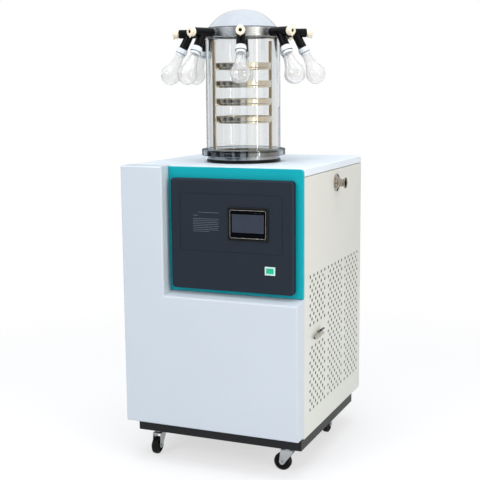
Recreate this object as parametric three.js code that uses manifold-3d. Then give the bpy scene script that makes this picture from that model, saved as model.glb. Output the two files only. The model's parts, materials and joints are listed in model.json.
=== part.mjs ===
// Floor-standing laboratory freeze dryer: a sheet-metal cabinet on four casters, with a cold trap
// and a refrigeration set inside it, and on its deck a clear drying chamber that carries a rack of
// trays and an eight-port manifold head with valves and flasks. Millimetres, +Z up.
//
// Cabinet coordinates: z = 0 is the floor, x = 0 the middle of the cabinet, and y = 0 the plane of
// the body's front, with the body behind it (+Y) and the front cover standing out of it (-Y).
import * as THREE from 'three';
import { mergeVertices } from 'three/addons/utils/BufferGeometryUtils.js';
import Module from 'manifold-3d';

const wasm = await Module();
wasm.setup();
const { Vector2, Vector3, Matrix4 } = THREE;
const DEGREE = Math.PI / 180;

// ---------------------------------------------------------------- driving dimensions
const clearance = 0.3;            // gap between pieces that touch
const sheet = 2;                  // wall of the cabinet's sheet-metal panels

const caster = {
  wheelRadius: 31.5,
  wheelWidth: 24,
  wheelDish: 3,                   // how far the wheel's disc lies inside its tyre's sides
  wheelSides: 16,
  tyre: 9,
  tyreStep: 2,
  tyreRound: 3,
  trail: 22,
  sideInset: 74,                  // from the cabinet's side to the swivel's axis
  frontInset: 48,
  rearInset: 166,
  axleRadius: 4,
  axleHead: 3,
  leg: 2.5,
  legEndRadius: 10,
  legShoulder: 4,                 // how far the crown reaches past the axle
  legFront: 9,                    // height of the legs' front edge below the crown's top
  crown: 3,
  crownGap: 11.7,                 // between the wheel's tread and the fork's crown
  headHeight: 11,
  headRadius: 19,
  gap: 2,                         // between the wheel and each leg
};
const chassis = {
  depth: 46,                      // from the tray's underside to the foot of the side panels
  sideInset: 12,
  frontInset: 4,
  rearInset: 63,
  wall: 3,
  floor: 4,
  rim: 3,
  pad: 62,
  padThickness: 3,
};
const cabinet = {
  width: 656,
  depth: 663,
  height: 928,                    // from the foot of the side panels to the deck's top
  fold: 14,                       // width of the panels' folded edges
};
const deck = { skirt: 27, plate: 2.5 };
const fascia = {
  depth: 67,                      // how far the front cover stands out of the body
  aboveFoot: 9,                   // its lower edge above the foot of the side panels
  aboveDeck: 2,
  edgeRadius: 7,
  leftWidth: 161,                 // width of the cover's full-height part
  notchDepth: 435,                // from the deck's top down to the notch's floor
  notchSlope: 14,                 // how far the notch's floor falls towards the front
  notchLean: 0,                   // how far its left wall leans away from it towards the front
};
const surround = { depth: 15, wall: 2, cornerRadius: 12, lowRadius: 4, topInset: 1 };
const panel = {
  depth: 24,
  wall: 3,
  cornerRadius: 12,
  edgeRadius: 6,
  marginLeft: 19,
  marginRight: 25,
  marginBottom: 14,
  marginTop: 37,
  grooveWidth: 1.6,
  grooveDepth: 1,
  grooveLeft: 36,                 // from the panel's left edge to the groove's rectangle
  grooveRight: 38,
  grooveTop: 49,
  grooveBottom: 135,
};
const screen = {
  width: 147,
  height: 114,
  depth: 5,
  fromRight: 87,
  fromTop: 92,
  corner: 6,
  lip: 9,                         // how far the bezel reaches past the housing behind it
  body: 20,
};
const powerSwitch = {
  width: 37,
  height: 29,
  bezel: 5,
  depth: 4,
  fromRight: 82,
  fromBottom: 80,
  buttonStand: 2.6,               // how far the button stands out of the panel's face
  travel: 2.2,
  body: 14,
};
const vents = {
  bands: 3,
  columns: 9,
  rows: 15,
  sides: 4,
  radius: 5.3,
  margin: 30,                     // least distance from a hole to the panel's edges
  fromFront: 60,
  pitchY: 19.7,
  pitchZ: 33.5,
  bandGap: 42.7,
  topBelowDeck: 372,
  keepOut: 33,                    // half the height of the strip without holes in the drain's band
};
const vacuumPort = {
  fromFront: 345,
  belowDeck: 76,
  reach: 36,
  wallFlangeRadius: 32,
  wallFlange: 3,
  tubeWall: 1.5,
  boreRadius: 12.5,
  flangeRadius: 20,
  flange: 3,
  insideLength: 34,
  nutRadius: 21,
  nut: 6,
};
const drain = {
  fromFront: 137,
  aboveFoot: 341,
  offset: 11,                     // from the wall to the valve body's axis
  bodyRadius: 9,
  bodyLength: 34,
  neckRadius: 5,
  barbRadius: 8.5,
  barbLength: 25,
  barbGap: 20,
  boreRadius: 3.2,
  wallDiscRadius: 13,
  wallDisc: 3,
  tailRadius: 6.5,
  tailLength: 30,
  leverLength: 40,
  leverWidth: 8,
  leverThickness: 3,
  stemRadius: 3.2,
  seatRise: 2,
  seatWall: 2.5,
};
const rear = {
  inletX: -210,
  inletAboveFoot: 77,
  inletWidth: 48,
  inletHeight: 28,
  socketDepth: 16,
  socketWall: 2,
  pinPitch: 10,
  pinWidth: 2,
  pinHeight: 8,
  pinSunk: 4,                     // how far the pins' ends lie inside the socket's mouth
  slotRows: 7,
  slotColumns: 2,
  slotWidth: 120,
  slotHeight: 7,
  slotPitchX: 150,
  slotPitchZ: 26,
  slotCentreX: 90,
  slotsAboveFoot: 192,
};
const chamber = {
  centreY: 265,
  tubeOuter: 134,
  tubeWall: 6,
  tubeHeight: 405,                // above the base collar
  sealHeight: 11,
  sealWidth: 22,
  collarHeight: 27,
  collarWidth: 23,
  collarInset: 3,                 // how far the collar lies inside the tube's outside
  footReach: 17.5,                // how far the foot flange stands out of the tube
  footDrop: 14,                   // how far it hangs down round the collar
  footRise: 9,                    // how far it stands above the collar
  footFillet: 3,
  sides: 28,
};
const trap = { wall: 3, rimGap: 4, depth: 330, flangeWidth: 16, flange: 3, corner: 8 };
const coil = { tube: 5, gap: 2.4, turns: 4, pitch: 44, belowDeck: 76, sides: 6, stepsPerTurn: 18 };
const rack = {
  wallGap: 12,                    // between the uprights and the chamber's tube
  uprightWidth: 20,
  uprightThickness: 4,
  topGap: 11,                     // from the uprights' tops to the tube's top
  baseWidth: 22,
  baseThickness: 4,
  shelfWidth: 27,
  shelfThickness: 6,
  turn: 50,                       // degrees that the rack is turned about the chamber's axis
};
const tray = { count: 4, rackGap: 7, overhang: 8, height: 18, wall: 1.2, pitch: 63, lowest: 108 };
const head = {
  ringHeight: 32,
  ringProud: 1,                   // how far the ring stands out of the tube, outside and inside
  domeInset: 9,                   // from the tube's outside to the dome's foot
  domeHeight: 65,
  // The dome's bell-shaped side from its foot up, in parts of its foot's radius and its height.
  domeShape: [[1, 0], [0.93, 0.17], [0.72, 0.57], [0.5, 0.84], [0.28, 0.97]],
  wall: 3,
};
const ports = {
  count: 8,
  firstAzimuth: 21,               // degrees from the front, towards +X
  aboveRingFoot: 14,
  nippleRadius: 13,
  nippleLength: 9,
  spigotRadius: 7.6,
  spigotLength: 16,
  boreRadius: 5,
  sides: 10,
};
const valve = {
  outerRadius: 15.5,
  length: 85,
  legFrom: 44,                    // from the valve's inner end to the down leg
  legRadius: 16,
  legLength: 64,
  legTilt: 27,                    // degrees outwards from straight down
};
const knob = {
  radius: 16.5,
  length: 20,
  gap: 1,
  holeRadius: 6,
  holeDepth: 12,
  stemRadius: 7.6,
  stemLength: 18,
  nib: 4,
  nibWidth: 4,
  nibLength: 5,
};
const flask = {
  capWall: 1.4,
  capLength: 29,
  capGrip: 6,                     // how far the cap reaches up round the valve's leg
  neckRadius: 16.5,
  neckFlare: 1.5,
  bulbRadius: 35,
  length: 133,                    // from the end of the valve's leg to the flask's bottom
  shoulderAngle: -34,
  wall: 2.4,
  mouthRadius: 9,
  capFloor: 4,
};
const compressor = {
  radius: 82,
  height: 225,
  x: -130,
  fromFront: 330,
  foot: 170,
  footThickness: 4,
  base: 57,                       // radius of the can's flat base
  baseRound: 30,
  seam: 4,                        // how far the welded seam stands out, and half its height
  crown: 33,                      // radius of the can's flat top
  crownRound: 40,
  pipeRadius: 7,
  pipeReach: 26,
  pipeHeight: 157,
  coverWidth: 44,
  coverReach: 22,
  coverFoot: 79,
  coverTop: 140,
};
const condenser = {
  fromSide: 46,
  fromRear: 73,
  thickness: 44,
  width: 270,
  height: 260,
  shroud: 30,
  plate: 3,
  footHeight: 30,
  footWidth: 30,
  motorRadius: 30,
  motorLength: 36,
  strutWidth: 14,
};
const fan = {
  radius: 104,
  mouthGap: 8,
  hubRadius: 24,
  hubLength: 20,
  fromStrut: 3,
  blades: 5,
  bladeWidth: 32,
  bladeThickness: 3,
  bladeTwist: 28,
  shaft: 4,
};

// ---------------------------------------------------------------- derived places
// Heights above the floor, from the wheels up.
const crownUnderside = 2 * caster.wheelRadius + caster.crownGap;
const chassisBottom = crownUnderside + caster.crown + caster.headHeight + clearance + chassis.padThickness;
const panelFoot = chassisBottom + chassis.depth;
const deckTop = panelFoot + cabinet.height;
const seamHeight = deckTop - deck.skirt;
const sealTop = deckTop + chamber.sealHeight;
const collarTop = sealTop + chamber.collarHeight;
const tubeTop = collarTop + chamber.tubeHeight;
const headBottom = tubeTop + clearance;
const portHeight = headBottom - clearance + ports.aboveRingFoot;
const drainHeight = panelFoot + drain.aboveFoot;
const vacuumHeight = deckTop - vacuumPort.belowDeck;

// Places across the front.
const halfWidth = cabinet.width / 2;
const notchLeft = -halfWidth + fascia.leftWidth;
const notchFloor = deckTop - fascia.notchDepth;
const surroundTop = deckTop - surround.topInset;
const surroundFront = -clearance - surround.depth;
const panelBack = surroundFront - clearance;
const panelFront = panelBack - panel.depth;
const panelLeft = notchLeft + panel.marginLeft;
const panelRight = halfWidth - panel.marginRight;
const panelBottom = notchFloor + panel.marginBottom;
const panelTop = surroundTop - panel.marginTop;
const screenX = panelRight - screen.fromRight - screen.width / 2;
const screenZ = panelTop - screen.fromTop - screen.height / 2;
const screenBody = screen.width / 2 - screen.lip;
const screenBodyUp = screen.height / 2 - screen.lip;
const switchX = panelRight - powerSwitch.fromRight;
const switchZ = panelBottom + powerSwitch.fromBottom;
const switchHole = powerSwitch.width / 2 - powerSwitch.bezel / 2;
const switchHoleUp = powerSwitch.height / 2 - powerSwitch.bezel / 2;

// Radii about the chamber's axis, from the tube inwards and outwards.
const tubeInner = chamber.tubeOuter - chamber.tubeWall;
const collarOuter = chamber.tubeOuter - chamber.collarInset;
const collarInner = collarOuter - chamber.collarWidth;
const sealInner = chamber.tubeOuter - chamber.sealWidth;
const trapOuter = sealInner - trap.rimGap;
const rackReach = tubeInner - rack.wallGap;
const trayRadius = rackReach - rack.uprightThickness - tray.rackGap;
const shelfOuter = trayRadius - tray.overhang;
const ringOuter = chamber.tubeOuter + head.ringProud;
const ringInner = tubeInner - head.ringProud;
const nippleReach = ringOuter + ports.nippleLength;
const valveStart = nippleReach + clearance;
const valveEnd = nippleReach + valve.length;

// ---------------------------------------------------------------- solids
// A closed geometry as a solid with its faces outwards; points at a pole are merged.
function solidOf(geometry) {
  const bare = geometry.clone();
  bare.deleteAttribute('normal');
  bare.deleteAttribute('uv');
  const merged = mergeVertices(bare, 1e-4);
  const position = merged.attributes.position.array;
  const triangles = [];
  let volume = 0;
  const corner = (i) => new Vector3(position[3 * i], position[3 * i + 1], position[3 * i + 2]);
  for (let t = 0; t < merged.index.count; t += 3) {
    const [a, b, c] = [0, 1, 2].map((k) => merged.index.getX(t + k));
    if (a === b || b === c || c === a) continue;
    triangles.push([a, b, c]);
    volume += corner(a).dot(corner(b).cross(corner(c)));
  }
  const order = volume < 0 ? triangles.map(([a, b, c]) => [a, c, b]) : triangles;
  const mesh = new wasm.Mesh({
    numProp: 3,
    vertProperties: position,
    triVerts: Uint32Array.from(order.flat()),
  });
  return new wasm.Manifold(mesh);
}

function geometryOf(solid) {
  const mesh = solid.getMesh();
  const geometry = new THREE.BufferGeometry();
  geometry.setAttribute('position', new THREE.BufferAttribute(Float32Array.from(mesh.vertProperties), 3));
  geometry.setIndex(new THREE.BufferAttribute(Uint32Array.from(mesh.triVerts), 1));
  geometry.computeVertexNormals();
  return geometry;
}

// Radius of a faceted bore that clears a round piece at any turn.
const boreAround = (radius, segments) => (radius + clearance) / Math.cos(Math.PI / segments);

const join = (...solids) => solids.reduce((whole, solid) => whole.add(solid));
const cut = (solid, ...tools) => tools.reduce((whole, tool) => whole.subtract(tool), solid);

function block(x0, x1, y0, y1, z0, z1) {
  const geometry = new THREE.BoxGeometry(x1 - x0, y1 - y0, z1 - z0);
  geometry.translate((x0 + x1) / 2, (y0 + y1) / 2, (z0 + z1) / 2);
  return solidOf(geometry);
}

// A round bar between two points.
function bar(radius, from, to, segments = 16) {
  const along = to.clone().sub(from);
  const geometry = new THREE.CylinderGeometry(radius, radius, along.length(), segments);
  const turn = new THREE.Quaternion().setFromUnitVectors(new Vector3(0, 1, 0), along.normalize());
  geometry.applyQuaternion(turn);
  const middle = from.clone().add(to).multiplyScalar(0.5);
  geometry.translate(middle.x, middle.y, middle.z);
  return solidOf(geometry);
}

// A turned solid about the Z axis; the profile holds [radius, z] points of a closed section.
function turned(profile, segments) {
  const points = profile.map(([radius, z]) => new Vector2(radius, z));
  const onAxis = profile[0][0] === 0 && profile[profile.length - 1][0] === 0;
  if (!onAxis) points.push(points[0].clone());
  const geometry = new THREE.LatheGeometry(points, segments);
  geometry.rotateX(Math.PI / 2);
  return solidOf(geometry);
}

const annulus = (inner, outer, z0, z1, segments) =>
  turned([[inner, z0], [outer, z0], [outer, z1], [inner, z1]], segments);

// How the X, Y and Z directions of a solid lie once it is stood on an axis.
const standing = {
  x: [[0, 1, 0], [0, 0, 1], [1, 0, 0]],
  y: [[1, 0, 0], [0, 0, 1], [0, -1, 0]],
  z: [[1, 0, 0], [0, 1, 0], [0, 0, 1]],
};
const standOn = (axis) => new Matrix4().makeBasis(...standing[axis].map((v) => new Vector3(...v)));

// Turns a solid drawn about Z so that it stands along x or y.
const along = (axis, solid) => solid.transform(standOn(axis).elements);

// An outline given thickness along an axis; its points are x, z along y, and y, z along x.
function slab(axis, outline, from, to) {
  const shape = new THREE.Shape(outline.map(([a, b]) => new Vector2(a, b)));
  const geometry = new THREE.ExtrudeGeometry(shape, { depth: to - from, bevelEnabled: false });
  geometry.translate(0, 0, axis === 'y' ? -to : from);
  geometry.applyMatrix4(standOn(axis));
  return solidOf(geometry);
}

function arc(cx, cy, radius, fromDegrees, toDegrees, steps) {
  return Array.from({ length: steps + 1 }, (_, i) => {
    const angle = (fromDegrees + ((toDegrees - fromDegrees) * i) / steps) * DEGREE;
    return [cx + radius * Math.cos(angle), cy + radius * Math.sin(angle)];
  });
}

// A regular outline with a corner straight across from its middle.
const polygon = (radius, sides, cx = 0, cy = 0) =>
  arc(cx, cy, radius, 0, 360 - 360 / sides, sides - 1);

// A rectangle whose four corners have radii [low left, low right, high right, high left].
function roundedOutline(x0, x1, z0, z1, radii, steps = 3) {
  const corners = [
    [x0, z0, 1, 1, 180],
    [x1, z0, -1, 1, 270],
    [x1, z1, -1, -1, 0],
    [x0, z1, 1, -1, 90],
  ];
  return corners.flatMap(([x, z, sx, sz, start], i) => {
    const radius = radii[i];
    return radius ? arc(x + sx * radius, z + sz * radius, radius, start, start + 90, steps) : [[x, z]];
  });
}

// Moves each side of an anticlockwise outline inwards.
function insetOutline(outline, inset) {
  const n = outline.length;
  return outline.map((point, i) => {
    const before = new Vector2(...outline[(i + n - 1) % n]);
    const here = new Vector2(...point);
    const after = new Vector2(...outline[(i + 1) % n]);
    const d0 = here.clone().sub(before).normalize();
    const d1 = after.sub(here).normalize();
    const n0 = new Vector2(-d0.y, d0.x);
    const n1 = new Vector2(-d1.y, d1.x);
    const reach = n0.clone().add(n1).multiplyScalar(inset / (1 + n0.dot(n1)));
    return [here.x + reach.x, here.y + reach.y];
  });
}

// A solid through outlines of [x, z] points that stand one behind the other at the given y.
function loft(sections) {
  const n = sections[0].outline.length;
  const positions = sections.flatMap(({ y, outline }) => outline.flatMap(([x, z]) => [x, y, z]));
  const index = [];
  for (let s = 0; s + 1 < sections.length; s += 1) {
    for (let i = 0; i < n; i += 1) {
      const [a, b] = [s * n + i, s * n + ((i + 1) % n)];
      index.push(a, b, b + n, a, b + n, a + n);
    }
  }
  const caps = [0, sections.length - 1].map((s) =>
    THREE.ShapeUtils.triangulateShape(sections[s].outline.map(([x, z]) => new Vector2(x, z)), []));
  const last = (sections.length - 1) * n;
  caps[0].forEach(([a, b, c]) => index.push(a, c, b));
  caps[1].forEach(([a, b, c]) => index.push(last + a, last + b, last + c));
  const geometry = new THREE.BufferGeometry();
  geometry.setAttribute('position', new THREE.Float32BufferAttribute(positions, 3));
  geometry.setIndex(index);
  return solidOf(geometry);
}

// Sections of a cover that stands out from yBack to yFront with rounded front edges.
function coverSections(backOutline, frontOutline, yBack, yFront, radius, steps) {
  const blend = (t) => backOutline.map(([x, z], i) => [
    x + (frontOutline[i][0] - x) * t,
    z + (frontOutline[i][1] - z) * t,
  ]);
  const start = (yFront + radius - yBack) / (yFront - yBack);
  const sections = [{ y: yBack, outline: blend(0) }];
  for (let i = 0; i <= steps; i += 1) {
    const angle = (i / steps) * (Math.PI / 2);
    const y = yFront + radius * (1 - Math.sin(angle));
    const t = start + (1 - start) * Math.sin(angle);
    sections.push({ y, outline: insetOutline(blend(t), radius * (1 - Math.cos(angle))) });
  }
  return sections;
}

// ---------------------------------------------------------------- materials
function finish(colour, roughness, metalness, opacity = 1) {
  return new THREE.MeshStandardMaterial({
    color: colour, roughness, metalness, opacity, transparent: opacity < 1,
  });
}
const finishes = {
  whitePaint: finish(0xd0d8e2, 0.45, 0),
  warmPaint: finish(0xdadad4, 0.5, 0),
  tealPaint: finish(0x10a6b2, 0.4, 0),
  slate: finish(0x2f3742, 0.6, 0),
  blackPaint: finish(0x14181c, 0.6, 0),
  blackRubber: finish(0x17191b, 0.8, 0),
  screenBlack: finish(0x0a0b0d, 0.25, 0),
  whitePlastic: finish(0xe4f0ec, 0.4, 0),
  greenPlastic: finish(0x25be8e, 0.3, 0),
  ivory: finish(0xf0e4cd, 0.45, 0),
  steel: finish(0xc4c6c8, 0.25, 1),
  zinc: finish(0xb4b8ba, 0.4, 1),
  brass: finish(0xb39a62, 0.35, 1),
  acrylic: finish(0xeef4f6, 0.08, 0, 0.3),
  glass: finish(0xf2f6f7, 0.05, 0, 0.35),
  copper: finish(0xb8734a, 0.35, 1),
  aluminium: finish(0xb9bcbe, 0.45, 1),
};

const machine = new THREE.Group();
// The origin of the part is the middle of its footprint on the floor.
machine.position.set(-vacuumPort.reach / 2, -(cabinet.depth - fascia.depth) / 2, 0);

function add(name, solid, material, parent = machine) {
  const mesh = new THREE.Mesh(geometryOf(solid), material);
  mesh.name = name;
  parent.add(mesh);
  return mesh;
}

// ---------------------------------------------------------------- cabinet
function buildChassis() {
  const x = halfWidth - chassis.sideInset;
  const y0 = chassis.frontInset;
  const y1 = cabinet.depth - chassis.rearInset;
  const top = panelFoot - clearance;
  const lip = halfWidth - sheet - clearance;
  const tub = block(-x, x, y0, y1, chassisBottom, top);
  const rim = block(-lip, lip, clearance, cabinet.depth - sheet - clearance, top - chassis.rim, top);
  const hollow = block(-x + chassis.wall, x - chassis.wall, y0 + chassis.wall, y1 - chassis.wall,
    chassisBottom + chassis.floor, top + 1);
  const pads = casterPlaces().map(({ x: px, y: py }) => block(
    px - chassis.pad / 2, px + chassis.pad / 2, py - chassis.pad / 2, py + chassis.pad / 2,
    chassisBottom - chassis.padThickness, chassisBottom + 1));
  add('chassis_tray', join(cut(join(tub, rim), hollow), ...pads), finishes.blackPaint);
}

// A panel folded inwards along all four edges; side is -1 for the left one and 1 for the right.
function sidePanel(side) {
  const z0 = panelFoot;
  const z1 = seamHeight - clearance;
  const y1 = cabinet.depth - sheet - clearance;
  const outer = side * halfWidth;
  const inner = side * (halfWidth - cabinet.fold);
  const [a, b] = [Math.min(outer, inner), Math.max(outer, inner)];
  const [c, d] = side > 0 ? [a - 1, b - sheet] : [a + sheet, b + 1];
  return cut(
    block(a, b, 0, y1, z0, z1),
    block(c, d, sheet, y1 - sheet, z0 + sheet, z1 - sheet));
}

function ventHoles() {
  const holes = [];
  const top = deckTop - vents.topBelowDeck;
  for (let band = 0; band < vents.bands; band += 1) {
    for (let column = 0; column < vents.columns; column += 1) {
      const odd = column % 2;
      const bandStart = band * ((vents.columns - 1) * vents.pitchY + vents.bandGap);
      const y = vents.fromFront + bandStart + column * vents.pitchY;
      for (let row = 0; row < vents.rows - odd; row += 1) {
        const z = top - (row + odd / 2) * vents.pitchZ;
        const clearOfDrain = band > 0 || Math.abs(z - drainHeight) > vents.keepOut;
        const insideEdges = y < cabinet.depth - vents.margin && z > panelFoot + vents.margin;
        if (clearOfDrain && insideEdges) holes.push([y, z]);
      }
    }
  }
  return holes;
}

function buildSidePanels() {
  add('left_side_panel', sidePanel(-1), finishes.warmPaint);
  const cutters = ventHoles().map(([y, z]) =>
    slab('x', polygon(vents.radius, vents.sides, y, z), halfWidth - sheet - 1, halfWidth + 1));
  const through = (y, z, radius) =>
    bar(radius, new Vector3(halfWidth - sheet - 1, y, z), new Vector3(halfWidth + 1, y, z), 20);
  const pierced = cut(sidePanel(1), wasm.Manifold.compose(cutters),
    through(vacuumPort.fromFront, vacuumHeight,
      boreAround(vacuumPort.boreRadius + vacuumPort.tubeWall, 20)),
    through(drain.fromFront, drainHeight, boreAround(drain.tailRadius, 20)));
  add('right_side_panel', pierced, finishes.warmPaint);
}

function buildRearPanel() {
  const y0 = cabinet.depth - sheet;
  const plate = block(-halfWidth, halfWidth, y0, cabinet.depth, panelFoot, seamHeight - clearance);
  const slots = [];
  for (let column = 0; column < rear.slotColumns; column += 1) {
    for (let row = 0; row < rear.slotRows; row += 1) {
      const x = rear.slotCentreX + (column - (rear.slotColumns - 1) / 2) * rear.slotPitchX;
      const z = panelFoot + rear.slotsAboveFoot + (row - (rear.slotRows - 1) / 2) * rear.slotPitchZ;
      slots.push(block(x - rear.slotWidth / 2, x + rear.slotWidth / 2, y0 - 1, cabinet.depth + 1,
        z - rear.slotHeight / 2, z + rear.slotHeight / 2));
    }
  }
  const [w, h] = [rear.inletWidth / 2, rear.inletHeight / 2];
  const wall = rear.socketWall;
  const inletZ = panelFoot + rear.inletAboveFoot;
  const shell = block(rear.inletX - w, rear.inletX + w, cabinet.depth - rear.socketDepth - wall,
    cabinet.depth, inletZ - h, inletZ + h);
  const recess = block(rear.inletX - w + wall, rear.inletX + w - wall,
    cabinet.depth - rear.socketDepth, cabinet.depth + 1, inletZ - h + wall, inletZ + h - wall);
  const pins = [-1, 0, 1].map((side) => {
    const x = rear.inletX + side * rear.pinPitch;
    return block(x - rear.pinWidth / 2, x + rear.pinWidth / 2, cabinet.depth - rear.socketDepth - 0.5,
      cabinet.depth - rear.pinSunk, inletZ - rear.pinHeight / 2, inletZ + rear.pinHeight / 2);
  });
  add('rear_panel', join(cut(join(cut(plate, ...slots), shell), recess), ...pins), finishes.warmPaint);
}

function buildDeck() {
  const top = deckTop;
  const outer = block(-halfWidth, halfWidth, 0, cabinet.depth, seamHeight, top);
  const inner = block(-halfWidth + sheet, halfWidth - sheet, sheet, cabinet.depth - sheet,
    seamHeight - 1, top - deck.plate);
  const hole = bar(sealInner, new Vector3(0, chamber.centreY, top - deck.plate - 1),
    new Vector3(0, chamber.centreY, top + 1), 40);
  add('top_deck', cut(outer, inner, hole), finishes.whitePaint);
}

function buildFascia() {
  const [left, right] = [-halfWidth, halfWidth];
  const foot = panelFoot + fascia.aboveFoot;
  const top = deckTop + fascia.aboveDeck;
  const outline = (slope, lean) => [
    [left, foot],
    [right, foot],
    [right, notchFloor - slope],
    [notchLeft - lean, notchFloor - slope],
    [notchLeft - lean, top],
    [left, top],
  ];
  const back = outline(0, 0);
  const front = outline(fascia.notchSlope, fascia.notchLean);
  const outer = loft(coverSections(back, front, -clearance, -fascia.depth, fascia.edgeRadius, 3));
  const inner = loft([
    { y: 1, outline: insetOutline(back, sheet) },
    { y: -fascia.depth + fascia.edgeRadius, outline: insetOutline(front, sheet) },
    { y: -fascia.depth + sheet, outline: insetOutline(front, fascia.edgeRadius) },
  ]);
  add('front_cover', cut(outer, inner), finishes.whitePaint);
}

// A pan of sheet metal, open at the back.
function buildSurround() {
  const outline = roundedOutline(notchLeft + clearance, halfWidth, notchFloor + clearance, surroundTop,
    [0, surround.lowRadius, surround.cornerRadius, 0]);
  const inside = insetOutline(outline, surround.wall);
  add('control_surround', cut(
    slab('y', outline, surroundFront, -clearance),
    slab('y', inside, surroundFront + surround.wall, 1)), finishes.tealPaint);
}

// A shallow box, open at the back, with a groove round the screen and holes for it and the switch.
function buildPanel() {
  const p = panel;
  const face = roundedOutline(panelLeft, panelRight, panelBottom, panelTop, Array(4).fill(p.cornerRadius));
  const shell = cut(
    loft(coverSections(face, face, panelBack, panelFront, p.edgeRadius, 2)),
    loft([
      { y: panelBack + 1, outline: insetOutline(face, p.wall) },
      { y: panelFront + p.wall, outline: insetOutline(face, p.wall + 2) },
    ]));
  const groove = (inset) => block(panelLeft + p.grooveLeft + inset, panelRight - p.grooveRight - inset,
    panelFront - 1, panelFront + p.grooveDepth,
    panelBottom + p.grooveBottom + inset, panelTop - p.grooveTop - inset);
  const hole = (x, z, halfAcross, halfUp) =>
    block(x - halfAcross, x + halfAcross, panelFront - 1, panelBack, z - halfUp, z + halfUp);
  add('control_panel', cut(shell,
    cut(groove(0), groove(p.grooveWidth)),
    hole(screenX, screenZ, screenBody + 1, screenBodyUp + 1),
    hole(switchX, switchZ, switchHole, switchHoleUp)), finishes.slate);
}

function buildScreen() {
  const [w, h] = [screen.width / 2, screen.height / 2];
  const front = panelFront - clearance;
  const bezel = slab('y', roundedOutline(screenX - w, screenX + w, screenZ - h, screenZ + h,
    Array(4).fill(screen.corner)), front - screen.depth, front);
  const body = block(screenX - screenBody, screenX + screenBody, front - 1, panelFront + screen.body,
    screenZ - screenBodyUp, screenZ + screenBodyUp);
  add('touchscreen', join(bezel, body), finishes.screenBlack);
}

function buildSwitch() {
  const s = powerSwitch;
  const front = panelFront - clearance - s.depth;
  const back = panelFront + s.body;
  // A block about the switch's middle.
  const centred = (halfAcross, halfUp, y0, y1) =>
    block(switchX - halfAcross, switchX + halfAcross, y0, y1, switchZ - halfUp, switchZ + halfUp);
  const [w, h] = [s.width / 2, s.height / 2];
  const flange = centred(w, h, front, panelFront - clearance);
  const sleeve = centred(switchHole - clearance, switchHoleUp - clearance, front + 1, back);
  const well = centred(w - s.bezel, h - s.bezel, front - 1, back + 1);
  add('switch_bezel', cut(join(flange, sleeve), well), finishes.whitePlastic);
  add('power_button', centred(w - s.bezel - clearance, h - s.bezel - clearance,
    panelFront - s.buttonStand, back - s.travel - 1), finishes.greenPlastic);
}

function buildVacuumPort() {
  const p = vacuumPort;
  const wall = clearance;
  const tube = p.boreRadius + p.tubeWall;
  const profile = [
    [p.boreRadius, -p.insideLength],
    [tube, -p.insideLength],
    [tube, wall],
    [p.wallFlangeRadius, wall],
    [p.wallFlangeRadius, wall + p.wallFlange],
    [p.nutRadius, wall + p.wallFlange],
    [p.nutRadius, wall + p.wallFlange + p.nut],
    [tube, wall + p.wallFlange + p.nut],
    [tube, p.reach - 2 * p.flange],
    [p.flangeRadius, p.reach - p.flange],
    [p.flangeRadius, p.reach],
    [p.boreRadius, p.reach],
  ];
  const mesh = add('vacuum_port', along('x', turned(profile, 16)), finishes.steel);
  mesh.position.set(halfWidth, p.fromFront, vacuumHeight);
}

function buildDrain() {
  const place = new THREE.Group();
  place.position.set(halfWidth, drain.fromFront, drainHeight);
  machine.add(place);
  const at = (x, y, z) => new Vector3(x, y, z);
  const d = drain;
  const axisX = d.offset;
  const front = -d.bodyLength / 2;
  const barbStart = front - d.barbGap;
  const body = join(
    bar(d.bodyRadius, at(axisX, -d.bodyLength / 2, 0), at(axisX, d.bodyLength / 2, 0), 12),
    bar(d.wallDiscRadius, at(clearance, 0, 0), at(clearance + d.wallDisc, 0, 0), 16),
    bar(d.tailRadius, at(-d.tailLength, 0, 0), at(axisX, 0, 0), 12),
    bar(d.neckRadius, at(axisX, barbStart - d.barbLength, 0), at(axisX, 0, 0), 12),
    bar(d.barbRadius, at(axisX, barbStart - d.barbLength / 2, 0), at(axisX, barbStart, 0), 12));
  const bore = join(
    bar(d.boreRadius, at(axisX, barbStart - d.barbLength - 1, 0), at(axisX, 0, 0), 10),
    bar(d.boreRadius, at(-d.tailLength - 1, 0, 0), at(axisX, 0, 0), 10));
  const stemFoot = d.boreRadius + 2;
  const seatTop = d.bodyRadius + d.seatRise;
  const socket = bar(boreAround(d.stemRadius, 12), at(axisX, 0, stemFoot), at(axisX, 0, seatTop + 1), 12);
  const seat = bar(d.stemRadius + d.seatWall, at(axisX, 0, 0), at(axisX, 0, seatTop), 12);
  add('drain_valve', cut(join(body, seat), bore, socket), finishes.brass, place);

  const armFoot = seatTop + clearance;
  const arm = slab('z', roundedOutline(-d.leverWidth / 2, d.leverWidth / 2, -d.leverWidth / 2,
    d.leverLength, Array(4).fill(3), 2), armFoot, armFoot + d.leverThickness);
  const stem = bar(d.stemRadius, at(0, 0, stemFoot + clearance),
    at(0, 0, armFoot + d.leverThickness + 2), 12);
  const lever = add('drain_lever', join(arm, stem), finishes.blackPaint, place);
  lever.position.set(axisX, 0, 0);
}

// ---------------------------------------------------------------- casters
function casterPlaces() {
  const x = halfWidth - caster.sideInset;
  const front = caster.frontInset;
  const back = cabinet.depth - caster.rearInset;
  return [
    { name: 'front_left', x: -x, y: front, turn: 90 },
    { name: 'front_right', x, y: front, turn: 0 },
    { name: 'rear_left', x: -x, y: back, turn: 60 },
    { name: 'rear_right', x, y: back, turn: 90 },
  ];
}

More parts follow.
